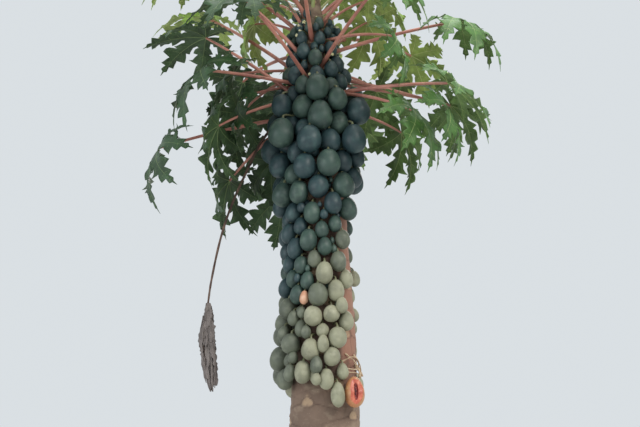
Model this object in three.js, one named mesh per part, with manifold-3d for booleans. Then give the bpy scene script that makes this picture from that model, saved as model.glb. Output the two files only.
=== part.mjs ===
// A papaya tree in full bearing, in millimetres, +Z up. The origin is the middle of the flat cut
// under the trunk, +X is to the right and -Y is the side that the tree was seen from.
// One swollen stem leans a little, carries its fruit in a golden-angle spiral from breast height
// to the crown, and ends in a rosette of long-stalked leaves with seven cut lobes each. Fruit in
// the axils of the leaves belong to those leaves, and the older fruit below hang in bunches.
import * as THREE from "three";
import { mergeVertices } from "three/addons/utils/BufferGeometryUtils.js";
import Module from "manifold-3d";

const wasm = await Module();
wasm.setup();

// Driving dimensions of the trunk
const TRUNK_HEIGHT = 4480;
const FOOT_RADIUS = 236;
const TIP_RADIUS = 48;
const TAPER_POWER = 1.6;
const FLARE = 55;
const FLARE_HEIGHT = 170;
const ROOT_RIDGES = 5;
const ROOT_RIDGE_SHARE = 0.07;
const TRUNK_SIDES = 15;
const TRUNK_RINGS = 11;
const RING_CROWDING = 1.25;
const LEAN = [0.016953, -1.9247e-6, -1.5504e-9];
const LEAN_BACK = 0.012;

// Fruit below the crown: height, width and length of a fruit, and how loosely they are strung.
// One side of the trunk is bare, and just above it the fruit are slimmer.
const FRUIT_STOPS = [
  { z: 1690, width: 116, length: 130, room: 1.1 },
  { z: 2150, width: 116, length: 130, room: 1.05 },
  { z: 2260, width: 88, length: 112, room: 1.0 },
  { z: 2720, width: 94, length: 122, room: 0.95 },
  { z: 2840, width: 130, length: 156, room: 0.66 },
  { z: 3160, width: 146, length: 168, room: 0.5 },
  { z: 3450, width: 134, length: 150, room: 0.48 },
];
// Fruit whose places were measured: turn in degrees, height, width and length
const MEASURED_FRUIT = [
  [-105, 2094, 113, 120],
  [-80, 2108, 98, 98],
  [-57, 2070, 88, 113],
  [-93, 2012, 74, 84],
  [-73, 1965, 113, 125],
  [-141, 1940, 113, 119],
  [-109, 1903, 107, 125],
  [-80, 1866, 101, 113],
  [-120, 1774, 97, 131],
  [-88, 1733, 86, 119],
  [-64, 1779, 68, 95],
  [-73, 1650, 82, 140],
  [-157, 1740, 97, 120],
];
const OPENED_FRUIT = { turn: -50, z: 1662, width: 112, length: 172 };
const SEED_HOLLOW = { width: 0.62, length: 0.66, out: 0.24 };
const GOLDEN_ANGLE = Math.PI * (3 - Math.sqrt(5));
const FRUIT_SEED = 4711;
const SIZE_SPREAD = 0.3;
const LENGTH_SPREAD = 0.1;
const PLACE_SPREAD = 30;
const MEASURED_ROOM = 0.42;
const FRUIT_TILT = 0.14;
const FRUIT_SIDES = 6;
const SMALL_FRUIT = { width: 112, sides: 5 };
const FACET_FILL = 1.06;
const BARE_SIDE = { from: -1.02, to: 0.75, below: 3030 };
const SLIM_SIDE = { from: -0.75, to: 0.9, below: 3300, share: 0.8 };

// How fruit settle round the trunk
const SETTLE_STEPS = 160;
const SHRINK_PASSES = 3;
const PRESS_SHARE = 0.4;
const HANG_BACK = 0.07;
const HEIGHT_HOLD = 0.03;
const MEASURED_HOLD = 0.25;
const FRUIT_GAP = 3;
const BARK_GAP = 7;
const LEAST_SHARE = 0.76;

// How fruit are joined into bunches
const NECK_RADIUS = 3.5;
const NECK_DEPTH = 7;
const NECK_REACH = 75;
const NECK_GAP = 3;
const BUNCH_SIZE = 7;
const SMALL_BUNCH = 3;
const LEAF_FRUIT = 5;
const BEARING_LIFT = 0.12;
const FOOT_DEPTH = 8;
const SEAT_GAP = 0.3;

// Driving dimensions of the leaves, from the oldest and lowest to the youngest
const LEAF_COUNT = 26;
const LEAF_SEED = 90;
const FIRST_LEAF_TURN = 0.92;
const LEAF_ZONE = { from: 3480, to: 4380 };
const LEAF_AGES = [
  { age: 0, stalk: 800, blade: 430, rise: -30, sag: -20, pitch: -24, droop: -40 },
  { age: 0.12, stalk: 820, blade: 440, rise: -14, sag: -22, pitch: -28, droop: -48 },
  { age: 0.32, stalk: 920, blade: 440, rise: 12, sag: -26, pitch: -34, droop: -54 },
  { age: 0.6, stalk: 860, blade: 420, rise: 38, sag: -24, pitch: -46, droop: -52 },
  { age: 0.85, stalk: 560, blade: 330, rise: 58, sag: -16, pitch: -50, droop: -44 },
  { age: 1, stalk: 330, blade: 210, rise: 62, sag: -10, pitch: -50, droop: -34 },
];
const STALK_THICKNESS = { foot: 16, tip: 4, sides: 3, steps: 3 };
const FULL_STALK = 800;
const STALK_LINKS = 8;
const GUARDED_LINKS = 4;
const WITHERED_GUARD = 2;
const STALK_FOOT_DEPTH = 14;
const STALK_SEAT = { turn: 11, along: 0.16 };
const BLADE_THICKNESS = 8;
const LIFTED_SIDES = [
  { turn: -Math.PI / 2, half: 0.66, rise: 22 },
  { turn: 0, half: 0.7, rise: 2 },
  { turn: Math.PI, half: 0.7, rise: 40 },
];
const LEAF_CLEARANCE = 92;
const ROOM_POINTS = { rib: 5, stalk_from: 3, withered: 14, withered_from: 2 };
const RIB_BY_STALK = 1.4;
const STALK_BY_STALK = 2;
const LEAF_TRIES = 60;
const LEAF_SPREAD = {
  stalk: 0.16,
  blade: 0.12,
  rise: 6,
  rise_give: 24,
  sag: 0.5,
  pitch: 20,
  droop: 16,
  swing: 0.2,
  swing_give: 1.1,
  roll: 0.5,
};
const LIFTED_SAG = 0.6;
const LOBES = [
  { turn: -134, length: 0.6, plain: true },
  { turn: -86, length: 0.83 },
  { turn: -42, length: 0.95 },
  { turn: 0, length: 1 },
  { turn: 42, length: 0.95 },
  { turn: 86, length: 0.83 },
  { turn: 134, length: 0.6, plain: true },
];
const PLAIN_BELOW = 350;
const PLAIN_BEYOND = 60;
const OUTER_SINUS = 34;
const LOBE_START_SLOPE = 10;
const SINUS_DEPTH = 0.33;
const SIDE_LOBE = { along: 0.62, out: 0.225 };
const SIDE_NOTCH = { along: 0.7, out: 0.11 };
const RIB_MIDDLE = 0.5;
const KEEL = 0.22;

// The fruit of the leaf axils
const AXIL_STOPS = [
  { z: 3480, width: 112, length: 136 },
  { z: 3640, width: 100, length: 122 },
  { z: 3850, width: 76, length: 96 },
  { z: 4080, width: 52, length: 68 },
];
const AXIL_PLACES = [
  { aside: -1, below: 0, up_to: 4060 },
  { aside: 1, below: 0, up_to: 4060 },
  { aside: 0, below: 1, up_to: 3840 },
];

// The growing tip
const BUD_PROFILE = [
  [0, 0],
  [1, 0],
  [0.9, 34],
  [0.45, 80],
  [0, 104],
];
const BUD_SIDES = 7;
const FOLDED_LEAVES = {
  count: 4,
  height: 250,
  step: 22,
  out: [18, 34, 60],
  spread: [0, 8, 20],
  foot: 20,
  middle: 0.55,
  stem: 5,
  swell: 96,
  swell_from: 0.45,
  swell_to: 1.16,
  sides: 3,
  steps: 4,
  flat: 0.7,
};

// The withered leaf: its stalk hangs from the crown, and its blade has rolled up
const WITHERED_STALK = [
  [-90, 60, 3440],
  [-330, 130, 3330],
  [-500, 160, 3020],
  [-620, 170, 2700],
  [-690, 170, 2360],
  [-708, 170, 2210],
];
const WITHERED_BLADE = {
  points: [
    [-708, 170, 2215],
    [-700, 158, 1945],
    [-664, 170, 1672],
  ],
  radius: 54,
  flat: 0.62,
  sides: 6,
  steps: 8,
  ragged: 0.36,
  narrow: 0.25,
  swell_from: 0.02,
  swell_to: 0.96,
  swell_power: 0.7,
};

const rad = (degrees) => (degrees * Math.PI) / 180;
const vector = (numbers) => new THREE.Vector3(...numbers);

// The same simple generator is used everywhere, so a seed always gives the same tree.
function seeded(seed) {
  let state = seed;
  return () => {
    state = (state * 48271) % 2147483647;
    return state / 2147483647;
  };
}

// Reads a value between the stops of a table, by the field that the stops are ordered by.
function between(stops, key, at, field) {
  let low = stops[0];
  for (const stop of stops) {
    if (stop[key] >= at) {
      const share = stop === low ? 0 : (at - low[key]) / (stop[key] - low[key]);
      return low[field] + (stop[field] - low[field]) * share;
    }
    low = stop;
  }
  return low[field];
}

const trunkAxis = (z) =>
  new THREE.Vector3(LEAN[0] * z + LEAN[1] * z ** 2 + LEAN[2] * z ** 3, LEAN_BACK * z, z);

const trunkRadius = (z) =>
  TIP_RADIUS +
  (FOOT_RADIUS - TIP_RADIUS) * (1 - Math.min(1, Math.max(0, z) / TRUNK_HEIGHT) ** TAPER_POWER) +
  FLARE * Math.exp(-Math.max(0, z) / FLARE_HEIGHT);

// A point beside the trunk: turn round it, height, and distance out from its bark.
function besideTrunk(turn, z, out) {
  const reach = trunkRadius(z) + out;
  return trunkAxis(z).add(new THREE.Vector3(reach * Math.cos(turn), reach * Math.sin(turn), 0));
}

// The flat vector from the trunk's axis to a point at the same height.
function fromAxis(point) {
  const centre = trunkAxis(point.z);
  return new THREE.Vector3(point.x - centre.x, point.y - centre.y, 0);
}

// Turns a closed three.js geometry into a solid that can be joined and cut.
function solidOf(geometry) {
  geometry.deleteAttribute("normal");
  geometry.deleteAttribute("uv");
  const merged = mergeVertices(geometry, 1e-3);
  return new wasm.Manifold(
    new wasm.Mesh({
      numProp: 3,
      vertProperties: new Float32Array(merged.attributes.position.array),
      triVerts: new Uint32Array(merged.index.array),
    }),
  );
}

function meshOf(name, solid, material) {
  const { numProp, numVert, vertProperties, triVerts } = solid.getMesh();
  const positions = new Float32Array(numVert * 3);
  for (let i = 0; i < numVert; i++) {
    positions.set(vertProperties.subarray(i * numProp, i * numProp + 3), i * 3);
  }
  const geometry = new THREE.BufferGeometry();
  geometry.setAttribute("position", new THREE.BufferAttribute(positions, 3));
  geometry.setIndex(new THREE.BufferAttribute(new Uint32Array(triVerts), 1));
  const mesh = new THREE.Mesh(geometry, material);
  mesh.name = name;
  return mesh;
}

// A limb along a curve: a cylinder whose rings are carried to the curve and may be flattened.
function limb(points, radiusAt, sides, steps, flat = 1) {
  const curve = new THREE.CatmullRomCurve3(points, false, "centripetal");
  const geometry = new THREE.CylinderGeometry(1, 1, 1, sides, steps);
  const position = geometry.attributes.position;
  const level = new THREE.Vector3(points[0].y - points.at(-1).y, points.at(-1).x - points[0].x, 0);
  if (level.length() < 1) level.set(1, 0, 0);
  const front = new THREE.Vector3();
  const side = new THREE.Vector3();
  for (let i = 0; i < position.count; i++) {
    const share = THREE.MathUtils.clamp(position.getY(i) + 0.5, 0, 1);
    const along = curve.getTangentAt(share);
    front.crossVectors(level, along).normalize();
    side.crossVectors(along, front);
    const radius = radiusAt(share);
    const point = curve
      .getPointAt(share)
      .addScaledVector(side, position.getX(i) * radius)
      .addScaledVector(front, position.getZ(i) * radius * flat);
    position.setXYZ(i, point.x, point.y, point.z);
  }
  return solidOf(geometry);
}

// A straight neck between two points.
const neck = (from, to) => limb([from, to], () => NECK_RADIUS, 3, 1);

// The trunk, or the same trunk grown by a gap to seat other pieces against.
function trunkSolid(growth) {
  const geometry = new THREE.CylinderGeometry(1, 1, 1, TRUNK_SIDES, TRUNK_RINGS);
  const position = geometry.attributes.position;
  for (let i = 0; i < position.count; i++) {
    const share = THREE.MathUtils.clamp(position.getY(i) + 0.5, 0, 1);
    const z = TRUNK_HEIGHT * share ** RING_CROWDING;
    const turn = Math.atan2(position.getX(i), position.getZ(i));
    const onEdge = Math.hypot(position.getX(i), position.getZ(i));
    const ridge =
      1 + ROOT_RIDGE_SHARE * Math.cos(ROOT_RIDGES * turn) * Math.exp(-z / FLARE_HEIGHT);
    const reach = onEdge * (trunkRadius(z) * ridge + growth);
    const centre = trunkAxis(z);
    position.setXYZ(
      i,
      centre.x - reach * Math.sin(turn),
      centre.y + reach * Math.cos(turn),
      z + (share === 1 ? growth : 0),
    );
  }
  return solidOf(geometry);
}

// A fruit hangs from its narrow end, fuller below, with its tip drawn in.
function fruitGeometry(fruit, sides, profile) {
  const full = FACET_FILL * fruit.width;
  const points = profile.map(([out, up]) => new THREE.Vector2(out * full, up * fruit.length));
  const geometry = new THREE.LatheGeometry(points, sides, fruit.spin);
  geometry.rotateX(Math.PI / 2);
  const level = new THREE.Vector3(-Math.sin(fruit.turn), Math.cos(fruit.turn), 0);
  geometry.applyMatrix4(new THREE.Matrix4().makeRotationAxis(level, -FRUIT_TILT));
  geometry.translate(fruit.at.x, fruit.at.y, fruit.at.z);
  return geometry;
}

const FRUIT_PROFILE = [
  [0, -0.5],
  [0.38, -0.32],
  [0.5, -0.02],
  [0.34, 0.33],
  [0, 0.5],
];

function closedFruit(fruit) {
  const sides = fruit.width < SMALL_FRUIT.width ? SMALL_FRUIT.sides : FRUIT_SIDES;
  return fruitGeometry(fruit, sides, FRUIT_PROFILE);
}

const fruitSolid = (fruit) => solidOf(closedFruit(fruit));

// A point just under the middle of each face of a fruit, where a neck or a stalk can end.
function seatsOf(fruit) {
  const { position } = closedFruit(fruit).toNonIndexed().attributes;
  const seats = [];
  const corner = new THREE.Triangle();
  for (let i = 0; i < position.count; i += 3) {
    corner.a.fromBufferAttribute(position, i);
    corner.b.fromBufferAttribute(position, i + 1);
    corner.c.fromBufferAttribute(position, i + 2);
    if (corner.getArea() < 1) continue;
    const seat = corner.getMidpoint(new THREE.Vector3());
    seats.push(seat.lerp(fruit.at, NECK_DEPTH / seat.distanceTo(fruit.at)));
  }
  return seats;
}

// The seats of two pieces that lie nearest each other.
function nearestSeats(some, others) {
  let pair;
  let least = Infinity;
  for (const from of some) {
    for (const to of others) {
      const length = from.distanceTo(to);
      if (length < least) {
        least = length;
        pair = { from, to, length };
      }
    }
  }
  return pair;
}

// Where a leaf's stalk runs: out from the bark, bending down as it goes.
function stalkPoints(leaf) {
  const points = [];
  let at = besideTrunk(leaf.turn, leaf.z, -STALK_FOOT_DEPTH);
  const step = leaf.stalk / STALK_LINKS;
  for (let i = 0; i <= STALK_LINKS; i++) {
    points.push(at);
    const slope = rad(leaf.rise + (leaf.sag * (i + 0.5)) / STALK_LINKS);
    const swing = leaf.turn + (leaf.swing * i) / STALK_LINKS;
    at = at.clone().add(
      new THREE.Vector3(
        step * Math.cos(slope) * Math.cos(swing),
        step * Math.cos(slope) * Math.sin(swing),
        step * Math.sin(slope),
      ),
    );
  }
  return points;
}

// The frame of a blade: x along its middle lobe, z up through it, at the end of the stalk.
function bladeFrame(leaf) {
  const turn = leaf.turn + leaf.swing;
  const slope = rad(leaf.rise + leaf.sag + leaf.pitch);
  const along = new THREE.Vector3(
    Math.cos(slope) * Math.cos(turn),
    Math.cos(slope) * Math.sin(turn),
    Math.sin(slope),
  );
  const across = new THREE.Vector3(-Math.sin(turn), Math.cos(turn), 0);
  const up = new THREE.Vector3().crossVectors(along, across);
  const roll = new THREE.Quaternion().setFromAxisAngle(along, leaf.roll);
  across.applyQuaternion(roll);
  up.applyQuaternion(roll);
  return new THREE.Matrix4().makeBasis(along, across, up).setPosition(stalkPoints(leaf).at(-1));
}

// A point of a lobe in the blade's frame: share along its rib, and share of its length aside.
// A lobe that bends down folds along its rib too, so it never reaches its neighbours.
function lobePoint(leaf, turn, length, along, aside) {
  const start = rad(LOBE_START_SLOPE);
  const bend = rad(leaf.droop) - start;
  const slope = start + bend * along;
  const size = leaf.blade * length;
  const reach = (size * (Math.sin(slope) - Math.sin(start))) / bend;
  const height = (size * (Math.cos(start) - Math.cos(slope))) / bend;
  const out = aside * (along > 0 ? reach / along : size);
  const angle = rad(turn);
  return new THREE.Vector3(
    reach * Math.cos(angle) - out * Math.sin(angle),
    reach * Math.sin(angle) + out * Math.cos(angle),
    height - KEEL * Math.abs(aside) * size,
  );
}

// The blade is one plate, folded along the rib of each lobe and cut to the outline of its lobes.
function bladeSolid(leaf) {
  const vertices = [];
  const faces = [];
  const edge = [];
  const add = (point) => vertices.push(point) - 1;
  const centre = add(new THREE.Vector3());
  const first = LOBES[0];
  const last = LOBES[LOBES.length - 1];
  const ribs = [
    { turn: first.turn - OUTER_SINUS, length: first.length },
    ...LOBES,
    { turn: last.turn + OUTER_SINUS, length: last.length },
  ];
  const sinuses = [];
  for (let k = 0; k + 1 < ribs.length; k++) {
    const turn = (ribs[k].turn + ribs[k + 1].turn) / 2;
    const length = Math.min(ribs[k].length, ribs[k + 1].length);
    sinuses.push(add(lobePoint(leaf, turn, length, SINUS_DEPTH, 0)));
  }
  LOBES.forEach(({ turn, length, plain }, k) => {
    const place = (along, aside) => add(lobePoint(leaf, turn, length, along, aside));
    const rib = place(RIB_MIDDLE, 0);
    const side = (hand) => [
      place(SIDE_LOBE.along, hand * SIDE_LOBE.out),
      place(SIDE_NOTCH.along, hand * SIDE_NOTCH.out),
    ];
    const bare = plain || (leaf.blade < PLAIN_BELOW && Math.abs(turn) > PLAIN_BEYOND);
    const left = bare ? [] : side(1).reverse();
    const right = bare ? [] : side(-1);
    const outline = [sinuses[k], ...right, place(1, 0), ...left, sinuses[k + 1]];
    faces.push([centre, sinuses[k], rib], [centre, rib, sinuses[k + 1]]);
    for (let i = 0; i + 1 < outline.length; i++) {
      faces.push([rib, outline[i], outline[i + 1]]);
    }
    edge.push(...outline.slice(0, -1));
  });
  edge.push(sinuses[LOBES.length], centre);

  const half = BLADE_THICKNESS / 2;
  const positions = [];
  for (const side of [half, -half]) {
    for (const vertex of vertices) positions.push(vertex.x, vertex.y, vertex.z + side);
  }
  const below = vertices.length;
  const index = [];
  for (const [a, b, c] of faces) index.push(a, b, c, a + below, c + below, b + below);
  edge.forEach((a, i) => {
    const b = edge[(i + 1) % edge.length];
    index.push(a, a + below, b, b, a + below, b + below);
  });
  const geometry = new THREE.BufferGeometry();
  geometry.setAttribute("position", new THREE.Float32BufferAttribute(positions, 3));
  geometry.setIndex(index);
  geometry.applyMatrix4(bladeFrame(leaf));
  return solidOf(geometry);
}

// Points that stand for a leaf when its room is tested: along its stalk and its ribs.
function roomPoints(leaf) {
  const frame = bladeFrame(leaf);
  const ribs = [];
  for (const { turn, length } of LOBES) {
    for (let i = 1; i <= ROOM_POINTS.rib; i++) {
      const along = i / ROOM_POINTS.rib;
      ribs.push(lobePoint(leaf, turn, length, along, 0).applyMatrix4(frame));
    }
  }
  return { stalk: stalkPoints(leaf).slice(ROOM_POINTS.stalk_from), ribs };
}

function nearest(some, others) {
  let least = Infinity;
  for (const a of some) for (const b of others) least = Math.min(least, a.distanceToSquared(b));
  return Math.sqrt(least);
}

const turnBetween = (a, b) => Math.abs(Math.atan2(Math.sin(a - b), Math.cos(a - b)));

// Leaves follow the golden angle. One that has no room swings and lifts by turns until it has.
function leafPlan() {
  const random = seeded(LEAF_SEED);
  const leaves = [];
  const limp = new THREE.CatmullRomCurve3(WITHERED_STALK.map(vector));
  const limpPoints = limp.getPoints(ROOM_POINTS.withered);
  const withered = { ribs: [], stalkRoom: limpPoints.slice(ROOM_POINTS.withered_from) };
  for (let i = 0; i < LEAF_COUNT; i++) {
    const age = i / (LEAF_COUNT - 1);
    const value = (field) => between(LEAF_AGES, "age", age, field);
    const turn = FIRST_LEAF_TURN + (i + 1) * GOLDEN_ANGLE;
    const z = LEAF_ZONE.from + (LEAF_ZONE.to - LEAF_ZONE.from) * age;
    const lifts = LIFTED_SIDES.filter((side) => turnBetween(turn, side.turn) < side.half);
    const leastRise = Math.max(value("rise"), ...lifts.map((side) => side.rise));
    let leaf;
    let best = -Infinity;
    const leastSag = value("sag") * (lifts.length > 0 ? LIFTED_SAG : 1);
    for (let t = 0; t < LEAF_TRIES && best < LEAF_CLEARANCE; t++) {
      const give = t / LEAF_TRIES;
      const spread = LEAF_SPREAD;
      const vary = (width) => width * (random() - 0.5);
      const tried = {
        turn,
        z,
        stalk: value("stalk") * (1 + vary(spread.stalk)),
        blade: value("blade") * (1 + vary(spread.blade)),
        rise: leastRise + vary(spread.rise + spread.rise_give * give),
        sag: leastSag * (1 + vary(spread.sag)),
        pitch: value("pitch") + vary(spread.pitch),
        droop: value("droop") + vary(spread.droop),
        swing: vary(spread.swing + spread.swing_give * give),
        roll: vary(spread.roll),
      };
      const { stalk, ribs } = roomPoints(tried);
      let room = LEAF_CLEARANCE;
      for (const other of [withered, ...leaves]) {
        room = Math.min(
          room,
          nearest(ribs, other.ribs),
          nearest(ribs, other.stalkRoom) * RIB_BY_STALK,
          nearest(stalk, other.ribs) * RIB_BY_STALK,
          nearest(stalk, other.stalkRoom) * STALK_BY_STALK,
        );
      }
      if (room > best) {
        best = room;
        leaf = { ...tried, ribs, stalkRoom: stalk };
      }
    }
    leaf.points = stalkPoints(leaf);
    leaves.push(leaf);
  }
  return leaves;
}

// A fruit in the axil of a leaf, beside its stalk or under it.
function axilFruit(leaf, place) {
  const width = between(AXIL_STOPS, "z", leaf.z, "width");
  const length = between(AXIL_STOPS, "z", leaf.z, "length");
  const out = BARK_GAP + width / 2;
  const aside = (width / 2 + STALK_THICKNESS.foot + FRUIT_GAP) / (trunkRadius(leaf.z) + out);
  const turn = leaf.turn + place.aside * aside;
  const z = leaf.z - place.below * (length / 2 + STALK_THICKNESS.foot + FRUIT_GAP);
  return { width, length, home: besideTrunk(turn, z, out), hold: 0 };
}

// Stalks that fruit keep clear of, as straight pieces with a radius.
function stalkPosts(leaves) {
  const posts = [];
  leaves.forEach((leaf, owner) => {
    for (let i = 0; i < GUARDED_LINKS; i++) {
      const [from, to] = leaf.points.slice(i, i + 2);
      posts.push({ from, to, radius: STALK_THICKNESS.foot, owner });
    }
  });
  const withered = WITHERED_STALK.map(vector);
  for (let i = 0; i < WITHERED_GUARD; i++) {
    posts.push({ from: withered[i], to: withered[i + 1], radius: STALK_THICKNESS.foot });
  }
  return posts;
}

// Fruit are strung on the golden-angle spiral, then press one another into place round the trunk.
function fruitPlan(leaves, posts) {
  const random = seeded(FRUIT_SEED);
  const opened = { ...OPENED_FRUIT, turn: rad(OPENED_FRUIT.turn), hold: 1, opened: true };
  opened.home = besideTrunk(opened.turn, opened.z, BARK_GAP + opened.width / 2);
  const fruits = [opened];
  for (const [turn, z, width, length] of MEASURED_FRUIT) {
    const home = besideTrunk(rad(turn), z, BARK_GAP + width / 2);
    fruits.push({ width, length, home, hold: MEASURED_HOLD });
  }
  const measured = fruits.slice();
  let z = FRUIT_STOPS[0].z;
  let turn = 0;
  while (z < FRUIT_STOPS[FRUIT_STOPS.length - 1].z) {
    const value = (field) => between(FRUIT_STOPS, "z", z, field);
    const angle = Math.atan2(Math.sin(turn), Math.cos(turn));
    const on = (side) => z < side.below && angle > side.from && angle < side.to;
    const share = on(SLIM_SIDE) ? SLIM_SIDE.share : 1;
    const size = share * (1 + SIZE_SPREAD * (random() - 0.5));
    const width = value("width") * size;
    const length = value("length") * size * (1 + LENGTH_SPREAD * (random() - 0.5));
    const out = BARK_GAP + width / 2;
    const home = besideTrunk(angle, z, out);
    home.x += PLACE_SPREAD * (random() - 0.5);
    home.y += PLACE_SPREAD * (random() - 0.5);
    home.z += PLACE_SPREAD * (random() - 0.5);
    const taken = measured.some(
      (other) => other.home.distanceTo(home) < MEASURED_ROOM * (other.length + length),
    );
    if (!on(BARE_SIDE) && !taken) fruits.push({ width, length, home, hold: 0 });
    const round = 2 * Math.PI * (trunkRadius(z) + out);
    z += (value("room") * value("width") * value("length")) / round;
    turn += GOLDEN_ANGLE;
  }
  for (const leaf of leaves) {
    for (const place of AXIL_PLACES) {
      if (leaf.z < place.up_to) fruits.push(axilFruit(leaf, place));
    }
  }
  for (const fruit of fruits) fruit.at = fruit.home.clone();
  for (let step = 0; step < SETTLE_STEPS; step++) settle(fruits, posts);
  for (const fruit of fruits) fruit.grown = fruit.width;
  for (let pass = 0; pass < SHRINK_PASSES; pass++) shrinkToFit(fruits, posts);
  const kept = fruits.filter((fruit) => fruit.opened || fruit.width > LEAST_SHARE * fruit.grown);
  kept.forEach((fruit, i) => {
    const away = fromAxis(fruit.at);
    fruit.turn = Math.atan2(away.y, away.x);
    fruit.spin = i;
  });
  return kept;
}

// How far two fruit lack room, measured as if each were a ball.
function lackBetween(a, b) {
  const tall = (a.length + b.length) / (a.width + b.width);
  const apart = new THREE.Vector3().subVectors(b.at, a.at);
  apart.z /= tall;
  return { apart, tall, lack: (a.width + b.width) / 2 + FRUIT_GAP - apart.length() };
}

// How far a fruit lacks room beside a stalk.
function lackBeside(fruit, post) {
  const tall = fruit.length / fruit.width;
  const line = new THREE.Line3(post.from, post.to);
  const apart = line.closestPointToPoint(fruit.at, true, new THREE.Vector3());
  apart.subVectors(fruit.at, apart);
  apart.z /= tall;
  return { apart, tall, lack: fruit.width / 2 + post.radius + FRUIT_GAP - apart.length() };
}

function settle(fruits, posts) {
  const moves = fruits.map(() => new THREE.Vector3());
  fruits.forEach((fruit, i) => {
    for (let j = i + 1; j < fruits.length; j++) {
      const { apart, tall, lack } = lackBetween(fruit, fruits[j]);
      if (lack <= 0) continue;
      apart.setLength(lack * PRESS_SHARE);
      apart.z *= tall;
      moves[i].sub(apart);
      moves[j].add(apart);
    }
    for (const post of posts) {
      const { apart, tall, lack } = lackBeside(fruit, post);
      if (lack <= 0) continue;
      apart.setLength(lack * PRESS_SHARE);
      apart.z *= tall;
      moves[i].add(apart);
    }
  });
  fruits.forEach((fruit, i) => {
    fruit.at.add(moves[i]);
    fruit.at.lerp(fruit.home, fruit.hold);
    fruit.at.z += (fruit.home.z - fruit.at.z) * HEIGHT_HOLD;
    const away = fromAxis(fruit.at);
    const seat = trunkRadius(fruit.at.z - fruit.length / 4) + BARK_GAP + fruit.width / 2;
    const reach = away.length();
    away.setLength(Math.max(seat, reach - (reach - seat) * HANG_BACK));
    fruit.at = trunkAxis(fruit.at.z).add(away);
  });
}

// Fruit that still lack room after settling stay a little smaller.
function shrinkToFit(fruits, posts) {
  fruits.forEach((fruit, i) => {
    for (let j = i + 1; j < fruits.length; j++) {
      const { lack } = lackBetween(fruit, fruits[j]);
      if (lack <= 0) continue;
      const share = 1 - lack / ((fruit.width + fruits[j].width) / 2);
      for (const squeezed of [fruit, fruits[j]]) {
        squeezed.width *= share;
        squeezed.length *= share;
      }
    }
    for (const post of posts) {
      const { lack } = lackBeside(fruit, post);
      if (lack <= 0) continue;
      const share = 1 - (2 * lack) / fruit.width;
      fruit.width *= share;
      fruit.length *= share;
    }
  });
}

// The nearest points of two straight pieces, found by stepping along the first.
function gapBetweenLines(a, b, c, d) {
  const line = new THREE.Line3(c, d);
  const onFirst = new THREE.Vector3();
  const onSecond = new THREE.Vector3();
  let least = Infinity;
  for (let i = 0; i <= 8; i++) {
    onFirst.lerpVectors(a, b, i / 8);
    line.closestPointToPoint(onFirst, true, onSecond);
    least = Math.min(least, onFirst.distanceTo(onSecond));
  }
  return least;
}

// A neck is free where it meets no other fruit, no stalk, no other neck and not the bark.
function neckIsFree(link, fruits, posts, necks) {
  const { from, to, a, b, leaf } = link;
  const line = new THREE.Line3(from, to);
  const near = new THREE.Vector3();
  for (const fruit of fruits) {
    if (fruit === a || fruit === b) continue;
    line.closestPointToPoint(fruit.at, true, near);
    near.sub(fruit.at);
    near.z *= fruit.width / fruit.length;
    if (near.length() < fruit.width / 2 + NECK_RADIUS + NECK_GAP) return false;
  }
  for (const post of posts) {
    if (leaf !== undefined && post.owner === leaf) continue;
    const gap = gapBetweenLines(from, to, post.from, post.to);
    if (gap < post.radius + NECK_RADIUS + NECK_GAP) return false;
  }
  for (const other of necks) {
    if ([other.a, other.b].some((end) => end && (end === a || end === b))) continue;
    if (gapBetweenLines(from, to, other.from, other.to) < 2 * NECK_RADIUS + NECK_GAP) return false;
  }
  const middle = new THREE.Vector3().lerpVectors(from, to, 0.5);
  return fromAxis(middle).length() > trunkRadius(middle.z) + NECK_RADIUS + 1;
}

// Every neck that could join two neighbouring fruit, or a fruit and the stalk of a leaf.
function possibleNecks(fruits, leaves) {
  const links = [];
  const seats = new Map(fruits.map((fruit) => [fruit, seatsOf(fruit)]));
  fruits.forEach((a, i) => {
    if (a.opened) return;
    for (const b of fruits.slice(i + 1)) {
      if (a.at.distanceTo(b.at) > (a.length + b.length) / 2 + NECK_REACH) continue;
      const pair = nearestSeats(seats.get(a), seats.get(b));
      if (pair.length < NECK_REACH) links.push({ a, b, ...pair });
    }
    leaves.forEach((leaf, owner) => {
      const line = new THREE.Line3(leaf.points[0], leaf.points[2]);
      const from = line.closestPointToPoint(a.at, true, new THREE.Vector3());
      const out = fromAxis(from).length() - trunkRadius(from.z);
      const pair = nearestSeats([from], seats.get(a));
      if (out > 2 * NECK_RADIUS && pair.length < NECK_REACH) {
        links.push({ a, leaf: owner, ...pair, length: pair.length - NECK_REACH });
      }
    });
  });
  return links.sort((one, other) => one.length - other.length);
}

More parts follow.
